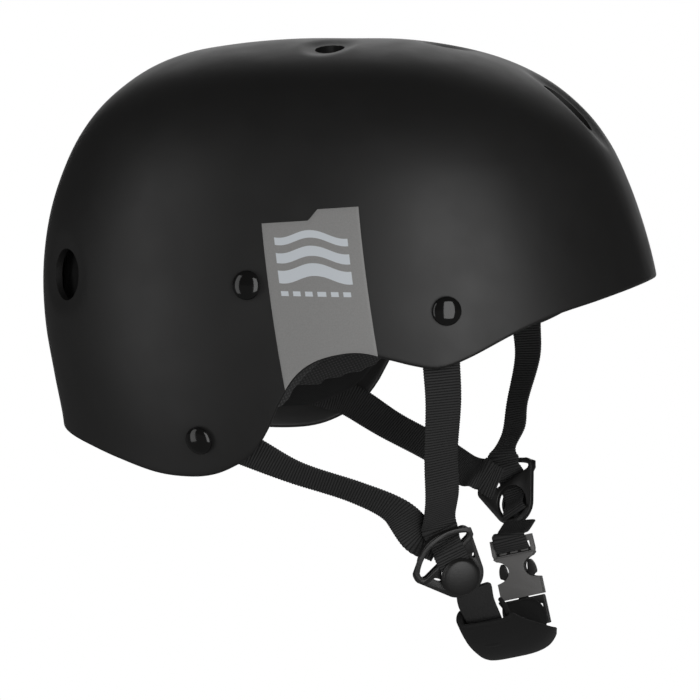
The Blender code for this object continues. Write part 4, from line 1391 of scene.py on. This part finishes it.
def fine_socket_outline():
    half = SOCKET_HALF[0]
    right = [(half, MOUTH), (half, 11.4)]
    right += [(half + 6.2 * math.cos(math.radians(a)), 6.3 + 4.9 * math.sin(math.radians(a)))
              for a in range(105, 256, 10)]
    right += [(half - 0.5, 0.6), (half + 0.1, -1.6), (half - 0.1, -8.0)]
    return right + [(-x, y) for x, y in reversed(right)]


def route_frame(route, across, place):
    """Point at a share of the chin webbing's route, its direction and its width direction."""
    middle = Vector(spline(route, place))
    along = (Vector(spline(route, place + 0.01)) - Vector(spline(route, place - 0.01))).normalized()
    return middle, along, (across - along * across.dot(along)).normalized()


LEAF_SAMPLES = 45


def chin_pad_sheet(name, count, finish):
    """The folded neoprene leaf: dense sections with rounded edges."""
    route = [tuple(p) for p in chin_route()]
    across = buckle_matrix().to_3x3() @ Vector((1, 0, 0))
    last = LEAF_SAMPLES - 1
    sections = []
    for k in range(count):
        f = k / (count - 1)
        middle, along, side = route_frame(route, across, 0.26 + 0.50 * f)
        inner = side.cross(along).normalized()
        half = 10.5 + 12.0 * math.sin(math.pi * min(0.06 + 0.8 * f, 1))
        corners = pad_section(half, -3 + 11 * f, 0.36 + 0.26 * f * f)
        line = [Vector(p) for p in smooth_rows(corners, LEAF_SAMPLES)]
        near_end = min(k, count - 1 - k) / 2.5
        thin = math.sqrt(1 - (1 - min(near_end, 1)) ** 2) if near_end < 1 else 1
        thick = PAD_SHEET / 2 * max(thin, 0.15)
        left, right = [], []
        for n, p in enumerate(line):
            tangent = (line[min(n + 1, last)] - line[max(n - 1, 0)]).normalized()
            edge = min(n, last - n) / 1.6
            slim = math.sqrt(1 - (1 - min(edge, 1)) ** 2) if edge < 1 else 1
            normal = Vector((-tangent.y, tangent.x)) * thick * max(slim, 0.12)
            left.append(p + normal)
            right.append(p - normal)
        sections.append([middle + side * p.x + inner * (p.y - 2.6) for p in left + right[::-1]])
    size = len(sections[0])
    points = [p for section in sections for p in section]
    faces = grid_faces(count, size, 0, True)
    for start in (0, len(points) - size):
        for n in range(last):
            faces.append((start + n, start + n + 1, start + 2 * last - n, start + 2 * last + 1 - n))
    return add_piece(name, points, faces, finish, 70)


# Outline of the flap over the plug, in the buckle's frame: left and right edge at each height.
FLAP = [(-6.6, 2.2, 19.9), (-9.2, 5.4, 20.8), (-10.2, 7.9, 23.4), (-10.4, 9.2, 26.6), (-9.8, 9.3, 29.6),
        (-8.0, 8.6, 32.6), (-5.0, 7.0, 35.6), (-1.8, 4.4, 38.2)]
FLAP_BASE = 3.2
FLAP_DOME = 2.9
FLAP_CLEARANCE = 1.4
FLAP_THIN = 0.9
FLAP_THICK = 1.1
FLAP_RAY = 30


def chin_flap(leaf):
    """Flap of the pad folded over the plug: a soft dome that lies on the leaf where it meets it."""
    matrix = buckle_matrix()
    tree = BVHTree.FromObject(leaf, bpy.context.evaluated_depsgraph_get())
    toward = (matrix.to_3x3() @ Vector((0, 0, 1))).normalized()
    rows = smooth_rows(FLAP, 30)
    columns = 34
    grid = []
    for k, (low, high, y) in enumerate(rows):
        line = []
        for j in range(columns):
            u = j / (columns - 1)
            x = low + (high - low) * u
            v = k / (len(rows) - 1)
            round_x = (1 - abs(2 * u - 1) ** 3) ** 0.5
            round_y = (1 - abs(2 * v - 1) ** 4) ** 0.5
            crease = 0.5 * math.sin(2.6 * u + 5.0 * v) * round_x
            height = FLAP_BASE + FLAP_DOME * round_x * round_y + crease
            high_point = matrix @ Vector((x, y, -FLAP_RAY))
            hit = tree.ray_cast(high_point * MM, toward)[0]
            if hit:
                height = max(height, FLAP_RAY - (hit / MM - high_point).length + FLAP_CLEARANCE)
            line.append([x, y, height])
        grid.append(line)
    for _ in range(3):
        before = [[cell[2] for cell in line] for line in grid]
        for k in range(1, len(grid) - 1):
            for j in range(1, columns - 1):
                near = before[k - 1][j] + before[k + 1][j] + before[k][j - 1] + before[k][j + 1]
                grid[k][j][2] = max(before[k][j] * 0.5 + near * 0.125, before[k][j] - 0.4)
    front = [[matrix @ Vector((x, y, -h - FLAP_THICK)) for x, y, h in line] for line in grid]
    back = [[matrix @ Vector((x * 0.96, y, -h + FLAP_THIN)) for x, y, h in line] for line in grid]
    flap = add_piece("chin_pad_flap", *slab_mesh(front, back), NEOPRENE, 180)
    finer(flap)
    go_with(flap, "chin_pad")


# Mouth of the fold round the webbing: route share, then place across and place off its flat side.
COLLAR = [(0.20, 8.6, -2.4), (0.23, 9.6, -1.0), (0.28, 10.0, 0.8), (0.33, 9.4, 2.6), (0.365, 7.0, 3.5),
          (0.385, 3.0, 3.7), (0.385, -1.5, 3.7), (0.37, -5.5, 3.5), (0.35, -8.2, 3.0)]


def chin_band(name, start, length, lift, finish):
    """Soft band that follows the mouth of the fold, with rounded edges."""
    route = [tuple(p) for p in chin_route()]
    across = buckle_matrix().to_3x3() @ Vector((1, 0, 0))
    front, back = [], []
    steps = 9
    for k in range(steps):
        f = k / (steps - 1)
        rounded = math.sqrt(max(1 - (2 * f - 1) ** 2, 0.04))
        front_row, back_row = [], []
        for place, x, out in smooth_rows(COLLAR, 44):
            middle, along, side = route_frame(route, across, place)
            near = along.cross(side).normalized()
            spot = Vector((x, out)).normalized()
            base = middle + side * x + near * out + along * (start + length * f)
            swing = side * spot.x + near * spot.y
            front_row.append(base + swing * (lift + 1.0 * rounded))
            back_row.append(base + swing * (lift - 1.0 * rounded))
        front.append(front_row)
        back.append(back_row)
    band = add_piece(name, *slab_mesh(front, back), finish, 70)
    return go_with(band, "chin_pad")


def build_chin_pad():
    pad = chin_pad_sheet("chin_pad_leaf", 72, NEOPRENE)
    chin_flap(pad)
    stand_for(pad, "chin_pad")
    chin_band("chin_pad_collar", -1.5, 4.6, 1.0, NEOPRENE)
    chin_band("chin_pad_hook_strip", 2.6, 3.4, 0.5, LOOPS)


# ---------------------------------------------------------------- light, floor and camera

def direction(azimuth, elevation):
    """Unit vector at an azimuth from -Y towards +X, in degrees."""
    a, e = math.radians(azimuth), math.radians(elevation)
    return Vector((math.sin(a) * math.cos(e), -math.cos(a) * math.cos(e), math.sin(e)))


def area_light(name, azimuth, elevation, distance, size, power):
    """Softbox aimed at the object."""
    data = bpy.data.lights.new(name, "AREA")
    data.shape = "RECTANGLE"
    data.size, data.size_y = size
    data.energy = power
    lamp = bpy.data.objects.new(name, data)
    away = direction(azimuth, elevation)
    lamp.location = LIGHT_AIM + away * distance
    lamp.rotation_euler = away.to_track_quat("Z", "Y").to_euler()
    bpy.context.scene.collection.objects.link(lamp)


def studio():
    mesh = bpy.data.meshes.new("studio_floor")
    r = FLOOR_REACH
    mesh.from_pydata([(-r, -r, FLOOR), (r, -r, FLOOR), (r, r, FLOOR), (-r, r, FLOOR)], [], [(0, 1, 2, 3)])
    floor = bpy.data.objects.new("studio_floor", mesh)
    bpy.context.scene.collection.objects.link(floor)
    g = Graph("floor_white")
    seen = g.node("ShaderNodeLightPath").outputs["Is Camera Ray"]
    glow = g.node("ShaderNodeEmission")
    g.link(g.remap(seen, FLOOR_LIGHT, FLOOR_GLOW, 0, 1), glow.inputs["Strength"])
    g.link(glow.outputs[0], g.tree.nodes["Material Output"].inputs["Surface"])
    mesh.materials.append(g.material)
    world = bpy.data.worlds.new("studio")
    world.use_nodes = True
    tree = world.node_tree
    dim = tree.nodes["Background"]
    dim.inputs["Color"].default_value = (1, 1, 1, 1)
    dim.inputs["Strength"].default_value = WORLD_GLOW
    seen = tree.nodes.new("ShaderNodeBackground")
    seen.inputs["Color"].default_value = (1, 1, 1, 1)
    path = tree.nodes.new("ShaderNodeLightPath")
    mix = tree.nodes.new("ShaderNodeMixShader")
    tree.links.new(path.outputs["Is Camera Ray"], mix.inputs[0])
    tree.links.new(dim.outputs[0], mix.inputs[1])
    tree.links.new(seen.outputs[0], mix.inputs[2])
    tree.links.new(mix.outputs[0], tree.nodes["World Output"].inputs["Surface"])
    bpy.context.scene.world = world
    area_light("softbox_right", CAMERA_TURN + 20, 4, 1.9, (1.3, 2.4), RIGHT_POWER)
    area_light("softbox_back", CAMERA_TURN + 176, 14, 2.1, (1.8, 2.2), BACK_POWER)
    area_light("softbox_left", CAMERA_TURN - 68, 4, 1.9, (0.8, 2.4), LEFT_POWER)


def place_camera():
    data = bpy.data.cameras.new("camera")
    data.lens = CAMERA_LENS
    data.sensor_width = CAMERA_SENSOR
    data.clip_start, data.clip_end = 0.05, 8000
    camera = bpy.data.objects.new("camera", data)
    back = direction(CAMERA_TURN, CAMERA_RISE)
    camera.location = CAMERA_AIM + back * CAMERA_DISTANCE
    camera.rotation_mode = "QUATERNION"
    camera.rotation_quaternion = (-back).to_track_quat("-Z", "Y")
    bpy.context.scene.collection.objects.link(camera)
    bpy.context.scene.camera = camera


place_camera()
studio()
build_shell()
build_liner()
build_pads()
build_fasteners()
build_decals()
build_dividers()
build_webbing()
build_buckle()
build_chin_pad()
bpy.context.scene.view_settings.view_transform = "Standard"

bpy.context.view_layer.update()
